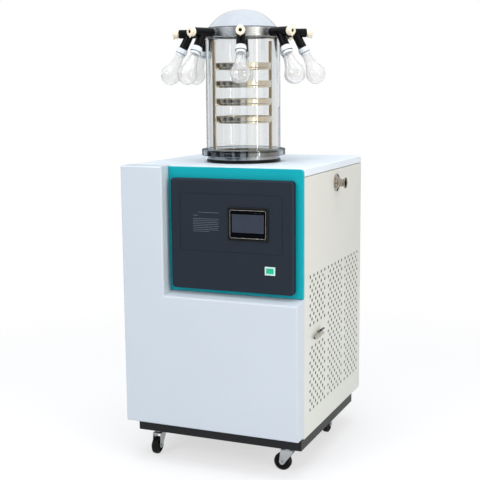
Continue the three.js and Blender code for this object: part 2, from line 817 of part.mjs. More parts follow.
// Drawn with the swivel's axis at x = y = 0 and the wheel trailing towards -X.
function buildCaster({ name, x, y, turn }) {
  const c = caster;
  const place = new THREE.Group();
  place.position.set(x, y, 0);
  place.rotation.z = turn * DEGREE;
  machine.add(place);
  const crownTop = crownUnderside + c.crown;
  const inner = c.wheelWidth / 2 + c.gap;
  const outer = inner + c.leg;
  const outline = [
    [c.headRadius, crownTop],
    [-c.trail - c.legShoulder, crownTop],
    ...arc(-c.trail, c.wheelRadius, c.legEndRadius, 170, 320, 2),
    [c.headRadius, crownTop - c.legFront],
  ];
  const crown = block(-c.trail - c.legShoulder, c.headRadius, -outer, outer, crownTop - c.crown, crownTop);
  const legs = [-outer, inner].map((start) => slab('y', outline, start, start + c.leg));
  const raceway = bar(c.headRadius, new Vector3(0, 0, crownTop - 1),
    new Vector3(0, 0, crownTop + c.headHeight), 12);
  const axle = bar(c.axleRadius, new Vector3(-c.trail, -outer - c.axleHead, c.wheelRadius),
    new Vector3(-c.trail, outer + c.axleHead, c.wheelRadius), 10);
  add(`caster_fork_${name}`, join(crown, ...legs, raceway, axle), finishes.zinc, place);

  const half = c.wheelWidth / 2;
  const bore = boreAround(c.axleRadius, c.wheelSides);
  const disc = half - c.wheelDish;
  const tyre = c.wheelRadius - c.tyre;
  // One flat of the faceted tread lies on the floor.
  const facet = Math.PI / c.wheelSides;
  const tread = c.wheelRadius / Math.cos(facet);
  const profile = [
    [bore, -disc], [tyre, -disc], [tyre + c.tyreStep, -half], [tread, -half + c.tyreRound],
    [tread, half - c.tyreRound], [tyre + c.tyreStep, half], [tyre, disc], [bore, disc],
  ];
  const solid = along('y', turned(profile, c.wheelSides));
  const wheel = add(`caster_wheel_${name}`, solid, finishes.blackRubber, place);
  wheel.position.set(-c.trail, 0, c.wheelRadius);
  wheel.rotation.y = facet;
}

// ---------------------------------------------------------------- drying chamber
const chamberPlace = new THREE.Group();
chamberPlace.position.set(0, chamber.centreY, 0);
machine.add(chamberPlace);

function buildChamber() {
  const c = chamber;
  const sealFoot = deckTop + clearance;
  add('base_seal', annulus(sealInner, c.tubeOuter, sealFoot, sealTop - clearance, c.sides),
    finishes.blackRubber, chamberPlace);
  add('base_collar', annulus(collarInner, collarOuter, sealTop, collarTop, c.sides),
    finishes.steel, chamberPlace);
  const skirtInner = collarOuter + clearance;
  const footOuter = c.tubeOuter + c.footReach;
  const foot = collarTop + c.footRise;
  const profile = [
    [tubeInner, collarTop + clearance],
    [skirtInner, collarTop + clearance],
    [skirtInner, collarTop - c.footDrop],
    [footOuter, collarTop - c.footDrop],
    [footOuter, foot],
    [c.tubeOuter + c.footFillet, foot],
    [c.tubeOuter, foot + c.footFillet],
    [c.tubeOuter, tubeTop],
    [tubeInner, tubeTop],
  ];
  add('chamber_cylinder', turned(profile, c.sides), finishes.acrylic, chamberPlace);
}

// The trap's bucket hangs by its flange from the underside of the deck.
function buildColdTrap() {
  const t = trap;
  const inner = trapOuter - t.wall;
  const flangeTop = deckTop - deck.plate - clearance;
  const bottom = flangeTop - t.depth;
  const rimTop = sealTop - clearance;
  const flangeOuter = trapOuter + t.flangeWidth;
  const profile = [
    [0, bottom], [trapOuter - t.corner, bottom], [trapOuter, bottom + t.corner],
    [trapOuter, flangeTop - t.flange], [flangeOuter, flangeTop - t.flange], [flangeOuter, flangeTop],
    [trapOuter, flangeTop], [trapOuter, rimTop], [inner, rimTop],
    [inner, bottom + t.wall + t.corner], [inner - t.corner, bottom + t.wall], [0, bottom + t.wall],
  ];
  add('cold_trap', turned(profile, chamber.sides), finishes.steel, chamberPlace);

  const coilRadius = trapOuter + coil.tube + coil.gap;
  const steps = coil.turns * coil.stepsPerTurn;
  const points = Array.from({ length: steps + 1 }, (_, i) => {
    const angle = (i / coil.stepsPerTurn) * 2 * Math.PI;
    return new Vector3(coilRadius * Math.cos(angle), coilRadius * Math.sin(angle),
      deckTop - coil.belowDeck - (i / coil.stepsPerTurn) * coil.pitch);
  });
  const shape = new THREE.Shape(polygon(coil.tube, coil.sides).map(([a, b]) => new Vector2(a, b)));
  const geometry = new THREE.ExtrudeGeometry(shape, {
    steps, bevelEnabled: false, extrudePath: new THREE.CatmullRomCurve3(points),
  });
  add('evaporator_coil', solidOf(geometry), finishes.copper, chamberPlace);
}

function trayFloors() {
  return Array.from({ length: tray.count }, (_, i) =>
    collarTop + tray.lowest + i * tray.pitch);
}

function buildRack() {
  const place = new THREE.Group();
  place.rotation.z = rack.turn * DEGREE;
  chamberPlace.add(place);
  const r = rack;
  const base = collarTop + clearance;
  const shelfInner = shelfOuter - r.shelfWidth;
  // A piece drawn on the +X side, and its twin on the other side.
  const onBothSides = (x0, x1, halfY, z0, z1) =>
    join(block(x0, x1, -halfY, halfY, z0, z1), block(-x1, -x0, -halfY, halfY, z0, z1));
  const uprights = onBothSides(rackReach - r.uprightThickness, rackReach, r.uprightWidth / 2,
    base, tubeTop - r.topGap);
  const footOuter = rackReach + 2;
  const foot = annulus(footOuter - r.baseWidth, footOuter, base, base + r.baseThickness, 24);
  const shelves = trayFloors().map((floor) => {
    const top = floor - clearance;
    const arms = onBothSides(shelfInner + 4, rackReach - 1, r.uprightWidth / 2,
      top - r.shelfThickness, top);
    return join(annulus(shelfInner, shelfOuter, top - r.shelfThickness, top, 18), arms);
  });
  add('shelf_rack', join(foot, uprights, ...shelves), finishes.steel, place);
}

function buildTrays() {
  trayFloors().reverse().forEach((floor, i) => {
    const t = tray;
    const profile = [
      [0, 0], [trayRadius - 2, 0], [trayRadius, 2], [trayRadius, t.height],
      [trayRadius - t.wall, t.height], [trayRadius - t.wall, t.wall], [0, t.wall],
    ];
    const mesh = add(`tray_${i + 1}`, turned(profile, 24), finishes.steel, chamberPlace);
    mesh.position.z = floor;
  });
}

// ---------------------------------------------------------------- manifold head
const portAzimuths = Array.from({ length: ports.count }, (_, i) =>
  ports.firstAzimuth + (i * 360) / ports.count);

// Turns +X, drawn as straight out of a port, to the port's azimuth measured from the front.
const portTurn = (azimuth) => (azimuth - 90) * DEGREE;

const domeProfile = (radius, z0, z1) =>
  head.domeShape.map(([across, up]) => [across * radius, z0 + up * (z1 - z0)]);

function buildHead() {
  const h = head;
  const ringTop = headBottom + h.ringHeight;
  const crown = ringTop + h.domeHeight;
  const domeFoot = chamber.tubeOuter - h.domeInset;
  const outerDome = domeProfile(domeFoot, ringTop, crown);
  const innerDome = domeProfile(domeFoot - h.wall, ringTop, crown - h.wall);
  const profile = [
    [0, crown - h.wall],
    ...innerDome.reverse(),
    [ringInner, ringTop - 2],
    [ringInner, headBottom],
    [ringOuter, headBottom],
    [ringOuter, ringTop],
    ...outerDome,
    [0, crown],
  ];
  const shell = turned(profile, chamber.sides);
  const nipples = [];
  const bores = [];
  portAzimuths.forEach((azimuth) => {
    const out = new Vector3(Math.cos(portTurn(azimuth)), Math.sin(portTurn(azimuth)), 0);
    const at = (radius) => out.clone().multiplyScalar(radius).setZ(portHeight);
    const spigotEnd = nippleReach + ports.spigotLength;
    nipples.push(bar(ports.nippleRadius, at(ringOuter - 4), at(nippleReach), ports.sides));
    nipples.push(bar(ports.spigotRadius, at(ringOuter), at(spigotEnd), ports.sides));
    bores.push(bar(ports.boreRadius, at(ringInner - 4), at(spigotEnd + 1), 8));
  });
  add('manifold_head', cut(join(shell, ...nipples), ...bores), finishes.steel, chamberPlace);
}

// One port's valve, knob and flask, drawn with the port pointing along +X.
function buildPort(azimuth, number) {
  const place = new THREE.Group();
  place.position.z = portHeight;
  place.rotation.z = portTurn(azimuth);
  chamberPlace.add(place);
  const v = valve;
  const sides = ports.sides;
  const onAxis = (x) => new Vector3(x, 0, 0);
  const down = new Vector3(Math.sin(v.legTilt * DEGREE), 0, -Math.cos(v.legTilt * DEGREE));
  const onLeg = (length) => onAxis(nippleReach + v.legFrom).addScaledVector(down, length);
  const body = join(
    bar(v.outerRadius, onAxis(valveStart), onAxis(valveEnd), sides),
    bar(v.legRadius, onLeg(0), onLeg(v.legLength), sides));
  const boreRadius = boreAround(Math.max(ports.spigotRadius, knob.stemRadius), sides);
  const bores = join(
    bar(boreRadius, onAxis(valveStart - 1), onAxis(valveEnd + 1), sides),
    bar(boreRadius, onLeg(0), onLeg(v.legLength + 1), sides));
  add(`valve_body_${number}`, cut(body, bores), finishes.blackRubber, place);

  const k = knob;
  const near = valveEnd + k.gap;
  const far = near + k.length;
  const nibReach = k.radius + k.nib;
  const disc = join(
    bar(k.radius, onAxis(near), onAxis(far), 12),
    bar(k.stemRadius, onAxis(valveEnd - k.stemLength), onAxis(near + 1), sides),
    block(far - k.nibLength, far, -k.nibWidth / 2, k.nibWidth / 2, -nibReach, nibReach));
  const hole = bar(k.holeRadius, onAxis(far - k.holeDepth), onAxis(far + 1), 8);
  add(`valve_knob_${number}`, cut(disc, hole), finishes.ivory, place);

  const vessel = add(`flask_${number}`, flaskSolid(), finishes.glass, place);
  vessel.position.copy(onLeg(0));
  vessel.quaternion.setFromUnitVectors(new Vector3(0, 0, 1), down);
}

// A pear-shaped flask in its cap, turned about Z with z measured along the valve's leg.
function flaskSolid() {
  const f = flask;
  const capStart = valve.legLength - f.capGrip;
  const capEnd = capStart + f.capLength;
  const capTop = valve.legLength + clearance;
  const socket = boreAround(valve.legRadius, ports.sides);
  const capOuter = socket + f.capWall;
  const bottom = valve.legLength + f.length;
  const centre = bottom - f.bulbRadius;
  const bulb = (radius, steps) => arc(0, centre, radius, f.shoulderAngle, 90, steps).slice(0, -1);
  const shoulder = centre + f.bulbRadius * Math.sin(f.shoulderAngle * DEGREE);
  const waist = (capEnd + shoulder) / 2;
  const waistRadius = f.neckRadius + f.neckFlare;
  return turned([
    [0, bottom - f.wall],
    ...bulb(f.bulbRadius - f.wall, 3).reverse(),
    [waistRadius - f.wall, waist],
    [f.neckRadius - f.wall, capEnd],
    [f.mouthRadius, capEnd - f.capFloor],
    [f.mouthRadius, capTop],
    [socket, capTop],
    [socket, capStart],
    [capOuter, capStart],
    [capOuter, capEnd],
    [f.neckRadius, capEnd],
    [waistRadius, waist],
    ...bulb(f.bulbRadius, 4),
    [0, bottom],
  ], ports.sides);
}

// ---------------------------------------------------------------- refrigeration
const chassisFloor = chassisBottom + chassis.floor + clearance;

function buildCompressor() {
  const c = compressor;
  const half = c.height / 2;
  const plate = block(-c.foot / 2, c.foot / 2, -c.foot / 2, c.foot / 2, 0, c.footThickness);
  const can = turned([
    [0, 0],
    [c.base, 0],
    ...arc(c.radius - c.baseRound, c.baseRound, c.baseRound, -60, 0, 2),
    [c.radius, half - c.seam],
    [c.radius + c.seam, half - c.seam],
    [c.radius + c.seam, half + c.seam],
    [c.radius, half + c.seam],
    ...arc(c.radius - c.crownRound, c.height - c.crownRound, c.crownRound, 0, 60, 2),
    [c.crown, c.height],
    [0, c.height],
  ], 16);
  const suction = bar(c.pipeRadius, new Vector3(0, c.radius - c.pipeRadius, c.pipeHeight),
    new Vector3(0, c.radius + c.pipeReach, c.pipeHeight), 10);
  const terminals = block(-c.coverWidth / 2, c.coverWidth / 2, -c.radius - c.coverReach, -c.radius + 12,
    c.coverFoot, c.coverTop);
  const mesh = add('compressor', join(plate, can, suction, terminals), finishes.blackPaint);
  mesh.position.set(c.x, c.fromFront, chassisFloor);
}

// Drawn with the air's way along X and the fan's axis through y = z = 0.
function buildCondenser() {
  const c = condenser;
  const place = new THREE.Group();
  const z = chassisFloor + c.footHeight + c.height / 2;
  place.position.set(halfWidth - c.fromSide, cabinet.depth - c.fromRear - c.width / 2, z);
  machine.add(place);
  const [w, h] = [c.width / 2, c.height / 2];
  const mouthRadius = fan.radius + fan.mouthGap;
  const back = -c.thickness;
  const front = back - c.shroud;
  const core = block(back, 0, -w, w, -h, h);
  const box = block(front, back + 1, -w, w, -h, h);
  const hollow = block(front + c.plate, back, -w + c.plate, w - c.plate, -h + c.plate, h - c.plate);
  const strut = block(front - c.plate, front + 0.5, -mouthRadius - 8, mouthRadius + 8,
    -c.strutWidth / 2, c.strutWidth / 2);
  const onAxis = (x) => new Vector3(x, 0, 0);
  const mouth = bar(mouthRadius, onAxis(front - 1), onAxis(back), 28);
  const motor = bar(c.motorRadius, onAxis(front - c.motorLength), onAxis(front + 1), 16);
  const shaft = bar(fan.shaft, onAxis(front), onAxis(front + fan.hubLength - 2), 12);
  const footMiddle = w - c.footWidth / 2;
  const feet = [-footMiddle, footMiddle].map((y) => block(front, 0,
    y - c.footWidth / 2, y + c.footWidth / 2, -h - c.footHeight, -h + 1));
  add('condenser', join(cut(join(core, box), hollow, mouth), strut, motor, shaft, ...feet),
    finishes.aluminium, place);

  const hub = bar(fan.hubRadius, onAxis(0), onAxis(fan.hubLength), 16);
  const [thick, wide] = [fan.bladeThickness / 2, fan.bladeWidth / 2];
  const blade = block(-thick, thick, -wide, wide, fan.hubRadius - 4, fan.radius)
    .rotate([0, 0, fan.bladeTwist])
    .translate([fan.hubLength / 2, 0, 0]);
  const blades = Array.from({ length: fan.blades }, (_, i) => blade.rotate([(i * 360) / fan.blades, 0, 0]));
  const bore = bar(boreAround(fan.shaft, 12), onAxis(-1), onAxis(fan.hubLength - 1), 12);
  const rotor = add('fan_rotor', cut(join(hub, ...blades), bore), finishes.blackPaint, place);
  rotor.position.x = front + fan.fromStrut;
}

// ---------------------------------------------------------------- the machine
buildChassis();
buildSidePanels();
buildRearPanel();
buildDeck();
buildFascia();
buildSurround();
buildPanel();
buildScreen();
buildSwitch();
buildVacuumPort();
buildDrain();
casterPlaces().forEach(buildCaster);
buildChamber();
buildColdTrap();
buildRack();
buildTrays();
buildHead();
portAzimuths.forEach((azimuth, i) => buildPort(azimuth, i + 1));
buildCompressor();
buildCondenser();

export default machine;
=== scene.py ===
"""Looks of a floor-standing laboratory freeze dryer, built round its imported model.

A sheet-metal cabinet on casters carries a clear drying chamber with a rack of trays, and over
it a steel head with eight ports, each with a rubber valve, a knob and a flask. Everything is in
metres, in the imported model's own frame.
"""
import json
import logging
import math
from collections.abc import Callable, Iterator, Sequence
from contextlib import contextmanager
from dataclasses import dataclass
from enum import Enum
from functools import cached_property, lru_cache
from typing import Any

import bpy
from mathutils import Matrix, Quaternion, Vector


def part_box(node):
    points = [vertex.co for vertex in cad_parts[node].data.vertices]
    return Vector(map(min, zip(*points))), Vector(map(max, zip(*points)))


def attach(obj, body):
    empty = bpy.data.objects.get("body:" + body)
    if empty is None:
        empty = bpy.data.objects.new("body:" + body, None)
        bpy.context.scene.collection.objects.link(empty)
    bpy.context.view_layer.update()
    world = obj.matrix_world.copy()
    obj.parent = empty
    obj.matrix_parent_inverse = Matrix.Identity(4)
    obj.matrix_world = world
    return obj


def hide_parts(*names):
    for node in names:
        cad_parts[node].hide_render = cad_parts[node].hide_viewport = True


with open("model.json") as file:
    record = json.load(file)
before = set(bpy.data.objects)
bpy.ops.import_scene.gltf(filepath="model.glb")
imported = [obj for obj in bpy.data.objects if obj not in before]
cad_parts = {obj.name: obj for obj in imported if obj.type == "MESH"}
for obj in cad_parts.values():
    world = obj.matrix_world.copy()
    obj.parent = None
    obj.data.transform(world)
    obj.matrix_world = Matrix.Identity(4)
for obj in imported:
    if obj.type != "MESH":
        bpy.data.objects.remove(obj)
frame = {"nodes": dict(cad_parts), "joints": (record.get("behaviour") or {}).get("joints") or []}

log = logging.getLogger("freeze_dryer")

MM = 0.001
FULL_TURN = 2 * math.pi
GAP = 0.3 * MM
MACHINE = "machine"
# Turns for a piece that is drawn along +Z and lies along +X or +Y.
ALONG_X = Matrix.Rotation(math.pi / 2, 4, "Y")
ALONG_Y = Matrix.Rotation(-math.pi / 2, 4, "X")
# How wide the deck's rubber seal is, and how far the foot flange stands out of the clear tube.
SEAL_WIDTH = 22 * MM
FOOT_FLANGE = 17.5 * MM
Piece = bpy.types.Object
Outline = Sequence[tuple[float, ...]]


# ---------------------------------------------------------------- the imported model
@dataclass(frozen=True)
class Extent:
    """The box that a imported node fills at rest."""

    low: Vector
    high: Vector

    @classmethod
    def of(cls, node: str) -> "Extent":
        """Reads the box of a node."""
        return cls(*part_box(node))

    @property
    def middle(self) -> Vector:
        """The box's centre."""
        return (self.low + self.high) / 2

    @property
    def size(self) -> Vector:
        """The box's three sides."""
        return self.high - self.low


def joint(name: str) -> dict[str, Any]:
    """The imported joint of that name."""
    return next(j for j in frame["joints"] if j["name"] == name)


def turned_frame(origin: Vector, x_axis: Vector) -> Matrix:
    """Gives the frame whose X axis points along x_axis and whose Z axis points up.

    Args:
        origin: where the frame's origin lies.
        x_axis: a level direction.

    Returns:
        The frame's matrix.
    """
    turn = math.atan2(x_axis.y, x_axis.x)
    return Matrix.Translation(origin) @ Matrix.Rotation(turn, 4, "Z")


# ---------------------------------------------------------------- modelling
def alone(piece: Piece) -> None:
    """Makes a piece the only selected object, and the active one.

    Args:
        piece: the piece.
    """
    bpy.ops.object.select_all(action="DESELECT")
    piece.select_set(True)
    bpy.context.view_layer.objects.active = piece


def added(name: str, operator: Callable[..., Any], **settings: Any) -> Piece:
    """Adds an object with nothing else selected.

    Args:
        name: the object's name.
        operator: the operator that adds it.
        settings: the operator's own settings.

    Returns:
        The object.
    """
    bpy.ops.object.select_all(action="DESELECT")
    operator(**settings)
    made = bpy.context.active_object
    made.name = made.data.name = name
    return made


def settled(piece: Piece) -> Piece:
    """Leaves a piece's place, turn and size in its mesh, so that its object stays at the origin.

    Args:
        piece: the piece.

    Returns:
        The piece.
    """
    alone(piece)
    bpy.ops.object.transform_apply(location=True, rotation=True, scale=True)
    return piece


def discard(*pieces: Piece) -> None:
    """Removes pieces that are used up, or that were only there to be copied."""
    for piece in pieces:
        bpy.data.objects.remove(piece)


@contextmanager
def editing(piece: Piece, mode: str = "FACE") -> Iterator[None]:
    """Opens a piece in edit mode with nothing selected, and closes it again.

    Args:
        piece: the piece to shape.
        mode: what is selected, VERT, EDGE or FACE.

    Yields:
        Nothing.
    """
    alone(piece)
    bpy.ops.object.mode_set(mode="EDIT")
    bpy.ops.mesh.select_mode(type=mode)
    bpy.ops.mesh.select_all(action="DESELECT")
    yield
    bpy.ops.object.mode_set(mode="OBJECT")


def pick_faces(piece: Piece, test: Callable[[Vector, Vector], bool]) -> None:
    """Selects the faces of a piece in edit mode by their place and normal.

    Args:
        piece: the piece, open in edit mode.
        test: is given a face's centre and normal, and says whether it is picked.
    """
    bpy.ops.object.mode_set(mode="OBJECT")
    for face in piece.data.polygons:
        face.select = test(face.center, face.normal)
    bpy.ops.object.mode_set(mode="EDIT")


def pick_vertices(piece: Piece, test: Callable[[Vector], bool]) -> None:
    """Selects the vertices of a piece in edit mode by their place.

    Args:
        piece: the piece, open in edit mode.
        test: is given a vertex's place, and says whether it is picked.
    """
    bpy.ops.object.mode_set(mode="OBJECT")
    for edge in piece.data.edges:
        edge.select = False
    for face in piece.data.polygons:
        face.select = False
    for vertex in piece.data.vertices:
        vertex.select = test(vertex.co)
    bpy.ops.object.mode_set(mode="EDIT")


def filleted(points: Outline, steps: int = 5) -> list[Vector]:
    """Rounds the corners of a closed plane outline.

    Args:
        points: its corners in order; a third number is a corner's fillet radius.
        steps: how many chords make each round corner.

    Returns:
        The outline's points as plane vectors.
    """
    rounded = []
    for i, (x, y, *radius) in enumerate(points):
        here = Vector((x, y))
        if not radius:
            rounded.append(here)
            continue
        back = (Vector(points[i - 1][:2]) - here).normalized()
        ahead = (Vector(points[(i + 1) % len(points)][:2]) - here).normalized()
        half = math.acos(max(-1.0, min(1.0, back.dot(ahead)))) / 2
        centre = here + (back + ahead).normalized() * (radius[0] / math.sin(half))
        start = here + back * (radius[0] / math.tan(half)) - centre
        end = here + ahead * (radius[0] / math.tan(half)) - centre
        sweep = math.atan2(start.x * end.y - start.y * end.x, start.dot(end))
        rounded += [centre + Matrix.Rotation(sweep * k / steps, 2) @ start for k in range(steps + 1)]
    return rounded


def rectangle(low: Vector, high: Vector, radius: float) -> Outline:
    """The outline of an upright rectangle, with the same round at its four corners."""
    return [(low.x, low.z, radius), (high.x, low.z, radius), (high.x, high.z, radius),
            (low.x, high.z, radius)]


def in_mm(points: Outline) -> Outline:
    """Turns an outline that is written in millimetres into metres."""
    return [tuple(value * MM for value in point) for point in points]


def drawn(name: str, points: Sequence[Vector]) -> Piece:
    """Draws a closed line of vertices, each extruded from the one before.

    Args:
        name: the piece's name.
        points: the line's points in space, the first not repeated.

    Returns:
        The piece, open in edit mode with all of it selected.
    """
    piece = added(name, bpy.ops.mesh.primitive_plane_add, size=MM, location=(0, 0, 0))
    bpy.ops.object.mode_set(mode="EDIT")
    bpy.ops.mesh.select_mode(type="VERT")
    bpy.ops.mesh.merge(type="CENTER")
    bpy.ops.transform.translate(value=points[0])
    for here, there in zip(points, [*points[1:], points[0]]):
        bpy.ops.mesh.extrude_vertices_move(TRANSFORM_OT_translate={"value": there - here})
    bpy.ops.mesh.select_all(action="SELECT")
    bpy.ops.mesh.remove_doubles(threshold=MM / 1000)
    return piece


def lathed(name: str, profile: Outline, sides: int = 96, steps: int = 4) -> Piece:
    """Spins a closed section about the Z axis.

    Args:
        name: the piece's name.
        profile: the section's corners as radius, height and, where it is round, fillet radius.
        sides: how many steps the spin has.
        steps: how many chords make each round corner.

    Returns:
        The piece, about the Z axis of the frame.
    """
    piece = drawn(name, [Vector((p.x, 0, p.y)) for p in filleted(profile, steps)])
    bpy.ops.mesh.spin(steps=sides, angle=FULL_TURN, center=(0, 0, 0), axis=(0, 0, 1))
    bpy.ops.mesh.select_all(action="SELECT")
    bpy.ops.mesh.remove_doubles(threshold=MM / 200)
    bpy.ops.mesh.normals_make_consistent(inside=False)
    bpy.ops.object.mode_set(mode="OBJECT")
    return piece


def slab(name: str, outline: Outline, front: float, back: float, steps: int = 6) -> Piece:
    """Extrudes an outline of x and z along +Y.

    Args:
        name: the piece's name.
        outline: its corners as x, z and, where it is round, fillet radius.
        front: the y of its front face.
        back: the y of its back face.
        steps: how many chords make each round corner.

    Returns:
        The closed solid.
    """
    piece = drawn(name, [Vector((p.x, front, p.y)) for p in filleted(outline, steps)])
    bpy.ops.mesh.edge_face_add()
    bpy.ops.mesh.extrude_region_move(TRANSFORM_OT_translate={"value": (0, back - front, 0)})
    bpy.ops.mesh.select_all(action="SELECT")
    bpy.ops.mesh.normals_make_consistent(inside=False)
    bpy.ops.object.mode_set(mode="OBJECT")
    return piece


def block(name: str, low: Sequence[float], high: Sequence[float]) -> Piece:
    """Adds a cube at its size and place.

    Args:
        name: the piece's name.
        low: its lowest corner.
        high: its highest corner.

    Returns:
        The piece.
    """
    low, high = Vector(low), Vector(high)
    return settled(added(name, bpy.ops.mesh.primitive_cube_add, size=1, location=(low + high) / 2,
                         scale=high - low))


def rod(name: str, radius: float, start: Vector, end: Vector, sides: int = 32) -> Piece:
    """Adds a round bar between two points.

    Args:
        name: the piece's name.
        radius: the bar's radius.
        start: the middle of one end.
        end: the middle of the other end.
        sides: how many sides it has.

    Returns:
        The piece.
    """
    way = end - start
    return settled(added(
        name, bpy.ops.mesh.primitive_cylinder_add, vertices=sides, radius=radius, depth=way.length,
        location=(start + end) / 2, rotation=way.to_track_quat("Z", "Y").to_euler()))


def modified(piece: Piece, kind: str, **settings: Any) -> Piece:
    """Adds a modifier to a piece and applies it.

    Args:
        piece: the piece.
        kind: the modifier's type.
        settings: the modifier's own settings.

    Returns:
        The piece.
    """
    alone(piece)
    modifier = piece.modifiers.new(kind.lower(), kind)
    for key, value in settings.items():
        setattr(modifier, key, value)
    bpy.ops.object.modifier_apply(modifier=modifier.name)
    return piece


def bevelled(piece: Piece, width: float, segments: int = 3, angle: float = 40) -> Piece:
    """Rounds each edge of a piece that is sharper than an angle in degrees."""
    return modified(piece, "BEVEL", width=width, segments=segments, limit_method="ANGLE",
                    angle_limit=math.radians(angle))


def walled(piece: Piece, wall: float) -> Piece:
    """Gives an open shell its wall, on the inside."""
    return modified(piece, "SOLIDIFY", thickness=wall, offset=-1, use_even_offset=True)


def combined(piece: Piece, operation: str, *tools: Piece) -> Piece:
    """Cuts or joins a piece with others, which are used up.

    Args:
        piece: the piece.
        operation: DIFFERENCE, UNION or INTERSECT.
        tools: the other solids.

    Returns:
        The piece.
    """
    for tool in tools:
        modified(piece, "BOOLEAN", operation=operation, object=tool, solver="EXACT")
        discard(tool)
    return piece


def gathered(name: str, pieces: Sequence[Piece]) -> Piece:
    """Makes several solids one piece, without melting them together.

    Args:
        name: the name of the whole.
        pieces: the solids.

    Returns:
        The piece that holds them all.
    """
    alone(pieces[0])
    for piece in pieces:
        piece.select_set(True)
    bpy.ops.object.join()
    pieces[0].name = pieces[0].data.name = name
    return pieces[0]


def copied(piece: Piece, name: str, place: Matrix) -> Piece:
    """Copies a piece with a mesh of its own, and puts the copy in its place.

    Args:
        piece: the piece to copy, drawn about the frame's origin.
        name: the copy's name.
        place: where the copy goes.

    Returns:
        The copy.
    """
    alone(piece)
    bpy.ops.object.duplicate(linked=False)
    copy = bpy.context.active_object
    copy.name = copy.data.name = name
    return put(copy, place)


def put(piece: Piece, place: Matrix) -> Piece:
    """Moves a piece, with its place left in its mesh."""
    piece.matrix_world = place
    return settled(piece)


def refined(node: str, name: str, edge: float, segments: int = 2) -> Piece:
    """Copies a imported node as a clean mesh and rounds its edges.

    Args:
        node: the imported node.
        name: the copy's name.
        edge: how wide its rounded edges are.
        segments: how many steps each rounded edge has.

    Returns:
        The copy, in the node's place.
    """
    piece = copied(frame["nodes"][node], name, Matrix.Identity(4))
    piece.parent = None
    for key in list(piece.keys()):
        del piece[key]
    with editing(piece, "VERT"):
        bpy.ops.mesh.select_all(action="SELECT")
        bpy.ops.mesh.remove_doubles(threshold=MM / 100)
        bpy.ops.mesh.dissolve_limited(angle_limit=math.radians(1))
        bpy.ops.mesh.customdata_custom_splitnormals_clear()
    return bevelled(piece, edge, segments)


# ---------------------------------------------------------------- materials
def linear(colour: str) -> tuple[float, float, float, float]:
    """Turns an sRGB hex colour into linear red, green, blue and alpha."""
    parts = [int(colour[i:i + 2], 16) / 255 for i in (1, 3, 5)]
    return (*(c / 12.92 if c <= 0.04045 else ((c + 0.055) / 1.055) ** 2.4 for c in parts), 1.0)


def add_node(tree: bpy.types.NodeTree, kind: str, values: dict[Any, Any] | None = None,
             links: dict[Any, bpy.types.NodeSocket] | None = None, **settings: Any) -> bpy.types.Node:
    """Adds a shader node with its settings and links.

    Args:
        tree: the material's or world's node tree.
        kind: the node's type without its ShaderNode prefix.
        values: constants for its input sockets.
        links: the sockets that feed its input sockets.
        settings: the node's own settings.

    Returns:
        The node.
    """
    made = tree.nodes.new("ShaderNode" + kind)
    for key, value in settings.items():
        setattr(made, key, value)
    for socket, value in (values or {}).items():
        made.inputs[socket].default_value = value
    for socket, source in (links or {}).items():
        tree.links.new(source, made.inputs[socket])
    return made


def emptied(owner: bpy.types.Material | bpy.types.World) -> bpy.types.NodeTree:
    """Clears the nodes of a new material or world.

    Args:
        owner: the material or world.

    Returns:
        Its node tree.
    """
    owner.use_nodes = True
    owner.node_tree.nodes.clear()
    return owner.node_tree


class Grain(Enum):
    """Which way the fine lines of a worked metal run, as the scale of its noise on each axis."""

    NONE = (1.0, 1.0, 1.0)
    LEVEL = (0.03, 0.03, 1.0)
    UPRIGHT = (1.0, 1.0, 0.03)


@dataclass(frozen=True)
class Finish:
    """A surface finish. Its material is made once, by material_of."""

    name: str
    colour: str

    def start(self) -> tuple[bpy.types.NodeTree, bpy.types.NodeSocket]:
        """Makes an empty material; returns its node tree and the piece's own coordinates in it."""
        tree = emptied(bpy.data.materials.new(self.name))
        return tree, add_node(tree, "TexCoord").outputs["Object"]

    def build(self) -> bpy.types.Material:
        """Makes the material."""
        raise NotImplementedError

    def ended(self, tree: bpy.types.NodeTree, surface: bpy.types.Node,
              volume: bpy.types.Node | None = None) -> bpy.types.Material:
        """Joins the shaders to the material's output.

        Args:
            tree: the material's node tree.
            surface: the node that gives the surface.
            volume: the node that gives the inside, if it has one.

        Returns:
            The material.
        """
        links = {"Surface": surface.outputs[0]}
        if volume:
            links["Volume"] = volume.outputs[0]
        add_node(tree, "OutputMaterial", links=links)
        return bpy.data.materials[self.name]

    def skinned(self, tree: bpy.types.NodeTree, clouds: bpy.types.Node, tones: tuple[float, float],
                gloss: tuple[float, float], relief: bpy.types.NodeSocket, bump: tuple[float, float],
                values: dict[str, Any], worked: bpy.types.Node | None = None) -> bpy.types.Material:
        """Ends a material whose tone and gloss drift and whose skin has a fine relief.

        Args:
            tree: the material's node tree.
            clouds: the noise that the tone follows, and the gloss too unless worked is given.
            tones: the darkest and the lightest tone, as shares of the colour.
            gloss: the lowest and the highest roughness.
            relief: what the relief follows.
            bump: the relief's strength and depth.
            values: the shader's constants.
            worked: the noise that the gloss follows instead.

        Returns:
            The material.
        """
        tone = add_node(tree, "HueSaturation", {"Color": linear(self.colour)}, {
            "Value": add_node(tree, "MapRange", {"To Min": tones[0], "To Max": tones[1]},
                              {"Value": clouds.outputs["Fac"]}).outputs["Result"]})
        shine = add_node(tree, "MapRange", {"To Min": gloss[0], "To Max": gloss[1]},
                         {"Value": (clouds if worked is None else worked).outputs["Fac"]})
        skin = add_node(tree, "Bump", {"Strength": bump[0], "Distance": bump[1]}, {"Height": relief})
        return self.ended(tree, add_node(tree, "BsdfPrincipled", values, {
            "Base Color": tone.outputs["Color"], "Roughness": shine.outputs["Result"],
            "Normal": skin.outputs["Normal"]}))


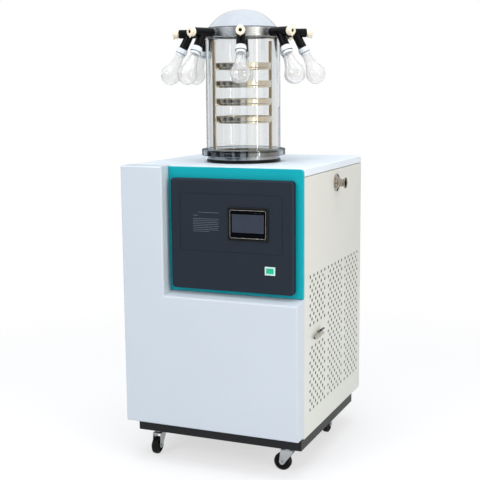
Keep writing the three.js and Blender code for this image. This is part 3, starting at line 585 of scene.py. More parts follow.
@dataclass(frozen=True)
class PowderCoat(Finish):
    """Polyester powder baked on sheet steel: an even, half-glossy skin with a faint orange peel."""

    roughness: float = 0.36
    peel: float = 1.6 * MM
    depth: float = 0.05 * MM
    drift: float = 0.16
    sheen_level: float = 0.3

    def build(self) -> bpy.types.Material:
        """Makes the paint: a slow drift of tone, and the peel's small hills and hollows.

        Returns:
            The material.
        """
        tree, place = self.start()
        slow = add_node(tree, "TexNoise", {"Scale": 1 / self.drift, "Detail": 2.0}, {"Vector": place})
        fine = add_node(tree, "TexNoise", {"Scale": 1 / self.peel, "Detail": 1.5, "Roughness": 0.4},
                        {"Vector": place})
        return self.skinned(
            tree, slow, (0.985, 1.015), (self.roughness - 0.03, self.roughness + 0.05),
            fine.outputs["Fac"], (0.35, self.depth), {"IOR": 1.5, "Specular IOR Level": self.sheen_level})


@dataclass(frozen=True)
class MouldedPlastic(Finish):
    """ABS from a spark-eroded mould: a dull skin with a fine pebbled grain."""

    roughness: float = 0.5
    grain: float = 0.8 * MM
    depth: float = 0.08 * MM
    glow: float = 0.0
    coat: float = 0.0

    def build(self) -> bpy.types.Material:
        """Makes the plastic: pebbled grain, and a sheen that drifts with handling.

        Returns:
            The material.
        """
        tree, place = self.start()
        pebbles = add_node(tree, "TexVoronoi", {"Scale": 1 / self.grain, "Randomness": 1.0},
                           {"Vector": place}, feature="SMOOTH_F1")
        drift = add_node(tree, "TexNoise", {"Scale": 1 / (60 * MM), "Detail": 3.0}, {"Vector": place})
        return self.skinned(
            tree, drift, (0.95, 1.05), (self.roughness - 0.05, self.roughness + 0.06),
            pebbles.outputs["Distance"], (0.3, self.depth), {
                "IOR": 1.5, "Specular IOR Level": 0.3, "Coat Weight": self.coat, "Coat Roughness": 0.08,
                "Emission Color": linear(self.colour), "Emission Strength": self.glow})


@dataclass(frozen=True)
class Rubber(Finish):
    """Moulded rubber: near black, with a soft sheen that handling makes uneven."""

    roughness: float = 0.42

    def build(self) -> bpy.types.Material:
        """Makes the rubber: bloom in soft clouds, and a very fine tooth.

        Returns:
            The material.
        """
        tree, place = self.start()
        clouds = add_node(tree, "TexNoise", {"Scale": 1 / (14 * MM), "Detail": 4.0}, {"Vector": place})
        tooth = add_node(tree, "TexNoise", {"Scale": 1 / (0.7 * MM), "Detail": 1.0}, {"Vector": place})
        return self.skinned(
            tree, clouds, (0.75, 1.3), (self.roughness - 0.08, self.roughness + 0.1),
            tooth.outputs["Fac"], (0.2, 0.05 * MM), {"IOR": 1.52, "Specular IOR Level": 0.14})


@dataclass(frozen=True)
class Metal(Finish):
    """Worked metal: its lines of polishing or rolling spread its reflections."""

    roughness: float = 0.18
    grain: Grain = Grain.NONE
    line: float = 0.5 * MM
    depth: float = 0.01 * MM
    stain: float = 0.04

    def build(self) -> bpy.types.Material:
        """Makes the metal: fine lines in the roughness and the bump, and a cloudy tone.

        Returns:
            The material.
        """
        tree, place = self.start()
        stretched = add_node(tree, "Mapping", {"Scale": self.grain.value}, {"Vector": place})
        lines = add_node(tree, "TexNoise", {"Scale": 1 / self.line, "Detail": 3.0, "Roughness": 0.7},
                         {"Vector": stretched.outputs["Vector"]})
        clouds = add_node(tree, "TexNoise", {"Scale": 1 / (35 * MM), "Detail": 4.0}, {"Vector": place})
        return self.skinned(
            tree, clouds, (1 - self.stain, 1 + self.stain), (self.roughness * 0.75, self.roughness * 1.3),
            lines.outputs["Fac"], (0.25, self.depth), {"Metallic": 1.0}, lines)


@dataclass(frozen=True)
class Clear(Finish):
    """Polished clear plastic or blown glass, a little darker where it is seen through edgewise."""

    ior: float = 1.49
    roughness: float = 0.01
    density: float = 2.0
    ripple: float = 40 * MM
    depth: float = 0.02 * MM
    clearness: float = 1.0

    def build(self) -> bpy.types.Material:
        """Makes the clear body: faint waves in its skin, and absorption through its depth.

        Returns:
            The material.
        """
        tree, place = self.start()
        waves = add_node(tree, "TexNoise", {"Scale": 1 / self.ripple, "Detail": 1.0}, {"Vector": place})
        smears = add_node(tree, "TexNoise", {"Scale": 1 / (25 * MM), "Detail": 5.0}, {"Vector": place})
        gloss = add_node(tree, "MapRange", {
            "From Min": 0.5, "From Max": 0.8, "To Min": self.roughness, "To Max": self.roughness + 0.05},
            {"Value": smears.outputs["Fac"]})
        skin = add_node(tree, "Bump", {"Strength": 0.3, "Distance": self.depth},
                        {"Height": waves.outputs["Fac"]})
        inside = add_node(tree, "VolumeAbsorption", {"Color": linear(self.colour), "Density": self.density})
        return self.ended(tree, add_node(tree, "BsdfPrincipled", {
            "Base Color": (1, 1, 1, 1), "IOR": self.ior, "Transmission Weight": self.clearness}, {
            "Roughness": gloss.outputs["Result"], "Normal": skin.outputs["Normal"]}), inside)


@dataclass(frozen=True)
class Display(Finish):
    """A dark liquid-crystal display behind glass: a faint grid of cells under a glossy skin."""

    cell: float = 0.9 * MM
    lines: str = "#35343f"

    def build(self) -> bpy.types.Material:
        """Makes the display; its cells are drawn coarser than real ones so that they show.

        Returns:
            The material.
        """
        tree, place = self.start()
        cells = add_node(tree, "TexBrick", {
            "Color1": linear(self.colour), "Color2": linear(self.colour), "Mortar": linear(self.lines),
            "Scale": 1.0, "Mortar Size": self.cell * 0.1, "Brick Width": self.cell,
            "Row Height": self.cell}, {"Vector": add_node(
                tree, "Mapping", {"Rotation": (math.pi / 2, 0, 0)}, {"Vector": place}).outputs["Vector"]},
            offset=0.0)
        haze = add_node(tree, "TexNoise", {"Scale": 1 / (70 * MM), "Detail": 2.0}, {"Vector": place})
        tone = add_node(tree, "HueSaturation", {}, {
            "Color": cells.outputs["Color"],
            "Value": add_node(tree, "MapRange", {"To Min": 0.85, "To Max": 1.15},
                              {"Value": haze.outputs["Fac"]}).outputs["Result"]})
        return self.ended(tree, add_node(tree, "BsdfPrincipled", {
            "IOR": 1.5, "Roughness": 0.25, "Coat Weight": 0.4, "Coat Roughness": 0.05},
            {"Base Color": tone.outputs["Color"]}))


@lru_cache(maxsize=None)
def material_of(finish: Finish) -> bpy.types.Material:
    """The material of a finish, made the first time that it is asked for."""
    return finish.build()


# One white polyester powder coat covers the cabinet, and each face takes a copy of it with light painted in:
# the front cover's copy has the cool front light painted in, the deck's the brighter, bluish light of the
# sky above.
FRONT_WHITE_PAINTED_COOL_LIGHT = PowderCoat("powder_coat_white_painted_cool_light", "#c8d0d9")
DECK_WHITE_PAINTED_SKY_LIGHT = PowderCoat("powder_coat_white_painted_sky_light", "#e4ecf4", roughness=0.4)
# The side and back panels take the copy of the same white with the warm light from the right painted in.
PANEL_WHITE_PAINTED_WARM_LIGHT = PowderCoat("powder_coat_white_painted_warm_light", "#dadbd5", roughness=0.42)
TEAL = PowderCoat("powder_coat_teal", "#0aa4b0", roughness=0.34, sheen_level=0.15)
# Satin black enamel on the chassis and the compressor.
BLACK_ENAMEL = PowderCoat("satin_black_enamel", "#101316", roughness=0.45)
SLATE = MouldedPlastic("moulded_abs_slate", "#15202d", roughness=0.52)
BLACK_ABS = MouldedPlastic("moulded_abs_black", "#0a0b0d", roughness=0.34, grain=0.5 * MM)
WHITE_ABS = MouldedPlastic("moulded_abs_white", "#c8e2dc", roughness=0.35, grain=0.5 * MM)
# The lit push button is a glossy translucent green.
LIT_GREEN = MouldedPlastic("lit_polycarbonate_green", "#1fae88", roughness=0.25, glow=0.2, coat=0.3)
IVORY = MouldedPlastic("moulded_acetal_ivory", "#f0e4cd", roughness=0.38, grain=0.6 * MM)
PRINT_GREY = MouldedPlastic("screen_print_grey", "#6c737e", roughness=0.6)
FROSTED = MouldedPlastic("frosted_polypropylene", "#dfe6ea", roughness=0.3, coat=0.4)
# Near-black sheets behind the vents are painted shade: they stand for the dark inside of the cabinet seen
# through the holes.
VENT_PAINTED_SHADE = Rubber("black_painted_vent_shade", "#0b0c0d", roughness=0.9)
BLACK_RUBBER = Rubber("moulded_rubber_black", "#040508", roughness=0.34)
TYRE_RUBBER = Rubber("tyre_rubber_black", "#0f1010", roughness=0.55)
POLISHED_STEEL = Metal("polished_stainless_steel", "#c9ccd0", roughness=0.1, grain=Grain.LEVEL)
# The dome's outside is spun and then satin polished, which spreads the ceiling over it.
DOME_STEEL = Metal("spun_satin_stainless_steel", "#e2ebf5", roughness=0.3, grain=Grain.LEVEL,
                   line=0.8 * MM, stain=0.08)
RING_STEEL = Metal("turned_satin_stainless_steel", "#a0a4a9", roughness=0.27, grain=Grain.LEVEL,
                   line=0.8 * MM, stain=0.08)
# The collar is ground, which leaves it softer than polished steel; its darker colour is a painted dark
# reflection.
COLLAR_STEEL_PAINTED_DARK_REFLECTION = Metal("ground_steel_painted_dark_reflection", "#93969c", roughness=0.17, grain=Grain.LEVEL, stain=0.1)
# The vacuum port is electropolished and nearly a mirror; its darker, warm colour is a painted reflection of
# the warm and dark room round it.
PORT_STEEL_PAINTED_REFLECTION = Metal("electropolished_steel_painted_warm_reflection", "#a39c92", roughness=0.1, stain=0.1)
SATIN_STEEL = Metal("satin_stainless_steel", "#d6cfc0", roughness=0.22, grain=Grain.LEVEL,
                    line=0.8 * MM)
BAR_STEEL = Metal("drawn_stainless_bar", "#e0cba9", roughness=0.48, grain=Grain.UPRIGHT,
                  line=0.8 * MM, stain=0.25)
BRIGHT_TRIM = Metal("bright_anodised_trim", "#dad6cf", roughness=0.42)
ZINC = Metal("zinc_plated_steel", "#aeb2b3", roughness=0.3, stain=0.14)
NICKEL = Metal("nickel_plated_brass", "#bab8b2", roughness=0.2)
COPPER = Metal("drawn_copper_tube", "#b8734a", roughness=0.3)
FIN_ALUMINIUM = Metal("mill_finish_aluminium", "#b9bcbe", roughness=0.35, grain=Grain.UPRIGHT)
ACRYLIC = Clear("cast_acrylic_clear", "#dde3e6", density=66.0)
FLASK_GLASS = Clear("borosilicate_glass", "#e6eeee", ior=1.47, density=4.0, ripple=20 * MM, clearness=0.86)
# The screen's front is black glass with a mirror-smooth skin.
SCREEN_GLASS = MouldedPlastic("black_cover_glass", "#07080a", roughness=0.12, grain=4 * MM, depth=0.005 * MM)
SCREEN_LCD = Display("liquid_crystal_display", "#36404e")


# ---------------------------------------------------------------- sub-assemblies
@dataclass
class Assembly:
    """Pieces that belong together on the machine."""

    def keep(self, piece: Piece, finish: Finish, slot: str, nodes: Sequence[str] = (),
             body: str = MACHINE, smooth: float = 35) -> Piece:
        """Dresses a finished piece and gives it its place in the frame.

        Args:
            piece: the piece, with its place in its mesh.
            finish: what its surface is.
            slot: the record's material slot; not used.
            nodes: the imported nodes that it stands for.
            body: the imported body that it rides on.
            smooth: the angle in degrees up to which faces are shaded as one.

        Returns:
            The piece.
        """
        alone(piece)
        bpy.ops.object.shade_smooth_by_angle(angle=math.radians(smooth))
        modified(piece, "WEIGHTED_NORMAL", keep_sharp=True)
        piece.data.materials.clear()
        piece.data.materials.append(material_of(finish))
        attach(piece, body)
        if nodes:
            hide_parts(*nodes)
        log.info("%s: %d faces, on %s", piece.name, len(piece.data.polygons), body)
        return piece


@dataclass
class Cabinet(Assembly):
    """The sheet-metal cabinet: chassis, side and back panels, deck and front cover."""

    sheet: float = 2 * MM
    panel_sheet: float = 1 * MM
    edge: float = 1.2 * MM
    deck_edge: float = 3.5 * MM
    cover_edge: float = 7 * MM
    notch_slope: float = 14 * MM
    vent_radius: float = 6.5 * MM
    vent_bands: int = 3
    vent_columns: int = 9
    vent_rows: int = 15
    vent_from_front: float = 60 * MM
    vent_pitch: tuple[float, float] = (19.7 * MM, 33.5 * MM)
    vent_band_gap: float = 42.7 * MM
    vent_below_deck: float = 372 * MM
    keep_out: float = 33 * MM
    seam: float = 1.5 * MM
    port_hole: float = 14.5 * MM
    drain_hole: float = 6.5 * MM + GAP
    screw_radius: float = 4 * MM
    screw_depth: float = 1.5 * MM
    screw_inset: float = 12 * MM
    screws_a_side: int = 4

    def build(self) -> None:
        """Builds every piece of the cabinet."""
        self.chassis()
        self.deck()
        self.side_panel(-1, "left_side_panel", [])
        self.side_panel(1, "right_side_panel", self.vent_cutters())
        self.vent_shade_sheets()
        self.rear_panel()
        self.front_cover()

    def chassis(self) -> None:
        """Builds the black tray that the cabinet stands on."""
        tray = refined("chassis_tray", "welded_chassis_tray", self.edge)
        self.keep(tray, BLACK_ENAMEL, "black_paint", ["chassis_tray"])

    def shell(self, name: str, box: Extent, open_side: Vector, edge: float, wall: float) -> Piece:
        """Builds a folded box of sheet metal that is open on one side.

        Args:
            name: the piece's name.
            box: its outer size and place.
            open_side: the direction of the side that is open.
            edge: the outer radius of its folds.
            wall: the sheet's thickness.

        Returns:
            The piece.
        """
        piece = block(name, box.low, box.high)
        with editing(piece):
            pick_faces(piece, lambda centre, normal: normal.dot(open_side) > 0.9)
            bpy.ops.mesh.delete(type="FACE")
        return walled(bevelled(piece, edge), wall)

    def deck(self) -> None:
        """Builds the lid of the cabinet, with the round hole of the cold trap."""
        box = Extent.of("top_deck")
        box.low.z += self.seam
        seal = Extent.of("base_seal")
        deck = self.shell("folded_top_deck", box, Vector((0, 0, -1)), self.deck_edge, self.sheet)
        centre, half_depth = seal.middle, 20 * MM
        tool = rod("deck_hole", seal.size.x / 2 - SEAL_WIDTH,
                   Vector((centre.x, centre.y, box.high.z - half_depth)),
                   Vector((centre.x, centre.y, box.high.z + half_depth)), 96)
        self.keep(combined(deck, "DIFFERENCE", tool), DECK_WHITE_PAINTED_SKY_LIGHT, "white_paint", ["top_deck"])

    def side_panel(self, side: int, node: str, cutters: list[Piece]) -> None:
        """Builds a side panel that is folded inwards along its edges.

        Args:
            side: -1 for the left panel and 1 for the right one.
            node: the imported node.
            cutters: what is cut out of it.
        """
        box = Extent.of(node)
        box.high.z -= self.seam / 3
        panel = self.shell(f"folded_{node}", box, Vector((-side, 0, 0)), self.edge, self.panel_sheet)
        self.keep(combined(panel, "DIFFERENCE", *cutters), PANEL_WHITE_PAINTED_WARM_LIGHT, "warm_white_paint", [node])

    def vent_cutters(self) -> list[Piece]:
        """Makes the cutters of the right panel: its vents, the vacuum port's hole and the drain's.

        Returns:
            The vents as one piece, and the two holes.
        """
        panel = Extent.of("right_side_panel")
        drain = Extent.of("drain_valve")
        port = Extent.of("vacuum_port")
        drain_z = drain.middle.z
        drain_y = joint("drain_lever_turn")["pos_m"][1]
        near, far = panel.high.x - 2 * self.sheet, panel.high.x + self.sheet
        top = Extent.of("top_deck").high.z - self.vent_below_deck
        first = rod("vent", self.vent_radius, Vector((near, 0, 0)), Vector((far, 0, 0)), 12)
        vents = []
        band_step = (self.vent_columns - 1) * self.vent_pitch[0] + self.vent_band_gap
        for band in range(self.vent_bands):
            for column in range(self.vent_columns):
                odd = column % 2
                y = panel.low.y + self.vent_from_front + band * band_step + column * self.vent_pitch[0]
                for row in range(self.vent_rows - odd):
                    z = top - (row + odd / 2) * self.vent_pitch[1]
                    if band > 0 or abs(z - drain_z) > self.keep_out:
                        vents.append(copied(first, "vent_copy", Matrix.Translation((0, y, z))))
        discard(first)
        holes = [rod(name, radius, Vector((near, y, z)), Vector((far, y, z))) for name, radius, y, z in (
            ("port_hole", self.port_hole, port.middle.y, port.middle.z),
            ("drain_hole", self.drain_hole, drain_y, drain_z))]
        return [gathered("vents", vents), *holes]

    def vent_shade_sheets(self) -> None:
        """Builds the near-black sheets behind the vents, painted shade of the cabinet's inside, which leave
        room for the drain's tail.
        """
        box, drain = Extent.of("right_side_panel"), Extent.of("drain_valve")
        back = box.high.x - 5 * self.panel_sheet
        front, far = box.low.y + self.vent_from_front / 2, box.high.y - self.vent_from_front / 3
        top = Extent.of("top_deck").high.z - self.vent_below_deck + self.vent_pitch[1] / 2
        foot = box.low.z + self.vent_pitch[1] / 2
        low, high = drain.middle.z - self.keep_out / 2, drain.middle.z + self.keep_out / 2
        spans = ((front, far, foot, low), (front, far, high, top),
                 (drain.high.y + self.keep_out, far, low, high))
        shade_sheets = [bevelled(block("mat", (back, y0, z0), (back + 2 * self.panel_sheet, y1, z1)), 0.5 * MM, 1)
                for y0, y1, z0, z1 in spans]
        self.keep(gathered("vent_painted_shade_sheets", shade_sheets), VENT_PAINTED_SHADE, "black_plastic")

    def rear_panel(self) -> None:
        """Builds the back panel, and the countersunk screws that hold it, as one piece."""
        box = Extent.of("rear_panel")
        inset, depth, radius = self.screw_inset, self.screw_depth, self.screw_radius
        foot, socket, count = radius - depth, 1.4 * MM, self.screws_a_side
        sink = lathed("sink", [(0, -depth - GAP), (foot + GAP, -depth - GAP), (radius + 2 * GAP, GAP),
                               (0, GAP)], 24)
        head = lathed("screw", [(0, -depth), (foot, -depth), (radius, -GAP / 3, 0.2 * MM),
                                (socket, -GAP / 3), (socket, -depth / 2), (0, -depth / 2)], 24)
        heights = [box.low.z + inset + (box.size.z - 2 * inset) * i / (count - 1) for i in range(count)]
        places = [Matrix.Translation((x, box.high.y, z)) @ ALONG_Y
                  for x in (box.low.x + inset, box.high.x - inset) for z in heights]
        sinks = [copied(sink, "sink_copy", place) for place in places]
        screws = [copied(head, "screw_copy", place) for place in places]
        discard(sink, head)
        panel = combined(refined("rear_panel", "folded_rear_panel", 0.6 * MM), "DIFFERENCE",
                         gathered("sinks", sinks))
        self.keep(panel, PANEL_WHITE_PAINTED_WARM_LIGHT, "warm_white_paint", ["rear_panel"])
        self.keep(gathered("rear_panel_screws", screws), ZINC, "zinc")

    def front_cover(self) -> None:
        """Builds the moulded front cover, an L round the control panel with rounded front edges."""
        box = Extent.of("front_cover")
        notch = Extent.of("control_surround")
        left, floor = notch.low.x - GAP, notch.low.z - GAP
        slope = self.notch_slope
        outline = [
            (box.low.x, box.low.z), (box.high.x, box.low.z), (box.high.x, floor - slope),
            (left, floor - slope), (left, box.high.z), (box.low.x, box.high.z)]
        cover = slab("moulded_front_cover", outline, box.low.y, box.high.y)
        with editing(cover, "VERT"):
            pick_vertices(cover, lambda co: co.y > box.high.y - MM and abs(co.z - floor + slope) < MM)
            bpy.ops.transform.translate(value=(0, 0, slope))
        with editing(cover):
            pick_faces(cover, lambda centre, normal: normal.y > 0.9)
            bpy.ops.mesh.delete(type="FACE")
            pick_faces(cover, lambda centre, normal: normal.y < -0.9)
            bpy.ops.mesh.bevel(offset=self.cover_edge, segments=6, profile=0.5, affect="EDGES")
        cover = bevelled(cover, self.edge, 2)
        self.keep(walled(cover, self.sheet), FRONT_WHITE_PAINTED_COOL_LIGHT, "white_paint", ["front_cover"])


@dataclass
class ControlPanel(Assembly):
    """The teal surround with the slate panel, its touch screen and its lit push button."""

    corner: float = 12 * MM
    foot_corner: float = 4 * MM
    panel_edge: float = 6 * MM
    panel_wall: float = 3 * MM
    pan_wall: float = 2 * MM
    groove_width: float = 1.6 * MM
    groove_depth: float = 1.0 * MM
    # The groove's corners, in millimetres from the panel's lower left and upper right corner.
    groove_low: tuple[float, float, float] = (36, 0, 135)
    groove_high: tuple[float, float, float] = (38, 0, 49)
    screen_lip: float = 8 * MM
    bezel_lip: float = 2.5 * MM
    screen_corner: float = 6 * MM
    trim: tuple[float, float] = (130 * MM, 95 * MM)
    trim_corner: float = 5 * MM
    trim_line: float = 0.9 * MM
    trim_rise: float = 1.0 * MM
    display: tuple[float, float] = (115 * MM, 62 * MM)
    display_drop: float = 14 * MM
    lamp_radius: float = 0.9 * MM
    lamps_across: tuple[float, float] = (30 * MM, 44 * MM)
    button_rim: float = 2.5 * MM
    button_dish: float = 0.8 * MM
    bar_height: float = 1.0 * MM
    bar_pitch: float = 6.2 * MM
    print_left: float = 131 * MM
    print_drop: float = 22 * MM

    def build(self) -> None:
        """Builds every piece of the control panel."""
        self.surround()
        self.panel()
        self.screen()
        self.switch()
        self.printed_lines()

    def surround(self) -> None:
        """Builds the teal pan behind the panel, open at its back."""
        box = Extent.of("control_surround")
        outline = [(box.low.x, box.low.z), (box.high.x, box.low.z, self.foot_corner),
                   (box.high.x, box.high.z, self.corner), (box.low.x, box.high.z)]
        pan = slab("painted_surround_pan", outline, box.low.y, box.high.y)
        with editing(pan):
            pick_faces(pan, lambda centre, normal: normal.y > 0.9)
            bpy.ops.mesh.delete(type="FACE")
        self.keep(walled(bevelled(pan, 1 * MM), self.pan_wall), TEAL, "teal_paint", ["control_surround"])

    def frame_cutter(self, low: Vector, high: Vector, front: float) -> Piece:
        """Makes the cutter of the groove that frames the screen.

        Args:
            low: the frame's lower left corner, of which y isn't used.
            high: its upper right corner.
            front: the y of the panel's face.

        Returns:
            The cutter.
        """
        corners = [(low.x, low.z), (high.x, low.z), (high.x, high.z), (low.x, high.z)]
        tool = drawn("groove", [Vector((x, front - MM, z)) for x, z in corners])
        bpy.ops.mesh.edge_face_add()
        bpy.ops.mesh.select_mode(type="FACE")
        bpy.ops.mesh.select_all(action="SELECT")
        bpy.ops.mesh.inset(thickness=self.groove_width)
        bpy.ops.mesh.delete(type="FACE")
        bpy.ops.mesh.select_all(action="SELECT")
        bpy.ops.mesh.extrude_region_move(
            TRANSFORM_OT_translate={"value": (0, MM + self.groove_depth, 0)})
        bpy.ops.mesh.select_all(action="SELECT")
        bpy.ops.mesh.normals_make_consistent(inside=False)
        bpy.ops.object.mode_set(mode="OBJECT")
        return tool

    def panel(self) -> None:
        """Builds the slate panel: a shallow moulded box with its groove and its two openings."""
        box = Extent.of("control_panel")
        panel = slab("moulded_control_panel", rectangle(box.low, box.high, self.corner), box.low.y,
                     box.high.y)
        with editing(panel):
            pick_faces(panel, lambda centre, normal: normal.y > 0.9)
            bpy.ops.mesh.delete(type="FACE")
            pick_faces(panel, lambda centre, normal: normal.y < -0.9)
            bpy.ops.mesh.bevel(offset=self.panel_edge, segments=5, profile=0.5, affect="EDGES")
        walled(panel, self.panel_wall)
        groove = self.frame_cutter(box.low + Vector(self.groove_low) * MM,
                                   box.high - Vector(self.groove_high) * MM, box.low.y)
        screen, bezel = Extent.of("touchscreen"), Extent.of("switch_bezel")
        holes = []
        for part, lip in ((screen, self.screen_lip), (bezel, self.bezel_lip)):
            inset = Vector((lip, 0, lip))
            holes.append(block("hole", Vector((part.low.x, box.low.y - MM, part.low.z)) + inset,
                               Vector((part.high.x, box.high.y, part.high.z)) - inset))
        self.keep(combined(panel, "DIFFERENCE", groove, *holes), SLATE, "slate_plastic", ["control_panel"])

    def screen(self) -> None:
        """Builds the touch screen: its housing, bright trim line, black glass and display."""
        box = Extent.of("touchscreen")
        front = box.low.y
        middle = box.middle
        outline = rectangle(box.low, box.high, self.screen_corner)
        housing = bevelled(slab("touch_screen_housing", outline, front + 0.6 * MM, front + 5 * MM), 2 * MM)
        inset = Vector((9, 0, 9)) * MM
        body = block("body", Vector((box.low.x, front + 4 * MM, box.low.z)) + inset, box.high - inset)
        self.keep(combined(housing, "UNION", body), BLACK_ABS, "screen", ["touchscreen"])
        line = self.trim_line

        def trim_outline(by: float) -> Outline:
            """The trim's rounded rectangle, drawn in by a length."""
            half = Vector((self.trim[0] / 2 - by, 0, self.trim[1] / 2 - by))
            return rectangle(middle - half, middle + half, self.trim_corner - by)

        ring = slab("bright_trim_line", trim_outline(0), front, front + self.trim_rise)
        ring = combined(ring, "DIFFERENCE", slab("inner", trim_outline(line), front - MM, front + 3 * MM))
        self.keep(bevelled(ring, 0.3 * MM, 2), BRIGHT_TRIM, "polished_steel")
        glass = slab("black_front_glass", trim_outline(line + 0.1 * MM), front + 0.35 * MM,
                     front + 1.2 * MM)
        self.keep(bevelled(glass, 0.15 * MM, 2), SCREEN_GLASS, "screen")
        width, height = self.display[0] / 2, self.display[1] / 2
        top = middle.z + self.trim[1] / 2 - self.display_drop
        low = Vector((middle.x - width, front + 0.25 * MM, top - 2 * height))
        high = Vector((middle.x + width, front + 0.6 * MM, top))
        self.keep(bevelled(block("display_window", low, high), 0.1 * MM, 1), SCREEN_LCD, "screen")
        lamps = [rod("lamp", self.lamp_radius, Vector((middle.x + x, front + 0.2 * MM, top + 6 * MM)),
                     Vector((middle.x + x, front + 0.8 * MM, top + 6 * MM)), 16)
                 for x in self.lamps_across]
        self.keep(gathered("screen_pilot_lamps", lamps), PRINT_GREY, "white_plastic")

    def switch(self) -> None:
        """Builds the push button and its white frame."""
        bezel, button_box = Extent.of("switch_bezel"), Extent.of("power_button")
        low, high = bezel.low, bezel.high
        flange = bevelled(block("push_button_frame", low, Vector((high.x, low.y + 4 * MM, high.z))), 1 * MM)
        inset = Vector((3, 0, 3)) * MM
        sleeve = block("sleeve", Vector((low.x, low.y + MM, low.z)) + inset, high - inset)
        well_low, well_high = button_box.low.copy(), button_box.high.copy()
        well_low.y, well_high.y = low.y - MM, high.y + MM
        margin = Vector((GAP, 0, GAP))
        solid = combined(flange, "UNION", sleeve)
        well = block("well", well_low - margin, well_high + margin)
        self.keep(combined(solid, "DIFFERENCE", well), WHITE_ABS, "white_plastic", ["switch_bezel"])
        button = block("lit_push_button", button_box.low, button_box.high)
        with editing(button):
            pick_faces(button, lambda centre, normal: normal.y < -0.9)
            bpy.ops.mesh.inset(thickness=self.button_rim)
            bpy.ops.transform.translate(value=(0, self.button_dish, 0))
        self.keep(bevelled(button, 0.6 * MM, 3, 15), LIT_GREEN, "green_plastic", ["power_button"],
                  "power_button")

    def printed_lines(self) -> None:
        """Builds the printed block beside the screen as plain bars of unequal length."""
        panel, screen = Extent.of("control_panel"), Extent.of("touchscreen")
        face = panel.low.y
        left = screen.low.x - self.print_left
        top = screen.high.z - self.print_drop
        heading, label, paragraph = (19 * MM, 78 * MM), (0.0, 19 * MM), 97 * MM
        shares = (1.0, 0.96, 1.0, 0.97, 1.0, 0.96, 0.98, 0.62)
        spans = [(heading, 0.0), (label, 11 * MM)]
        spans += [((0.0, paragraph * share), 22 * MM + self.bar_pitch * i)
                  for i, share in enumerate(shares)]
        bars = [block("bar", (left + x0, face - 0.12 * MM, top - drop - self.bar_height),
                      (left + x0 + length, face + 0.2 * MM, top - drop))
                for (x0, length), drop in spans]
        self.keep(gathered("printed_bars", bars), PRINT_GREY, "white_plastic")


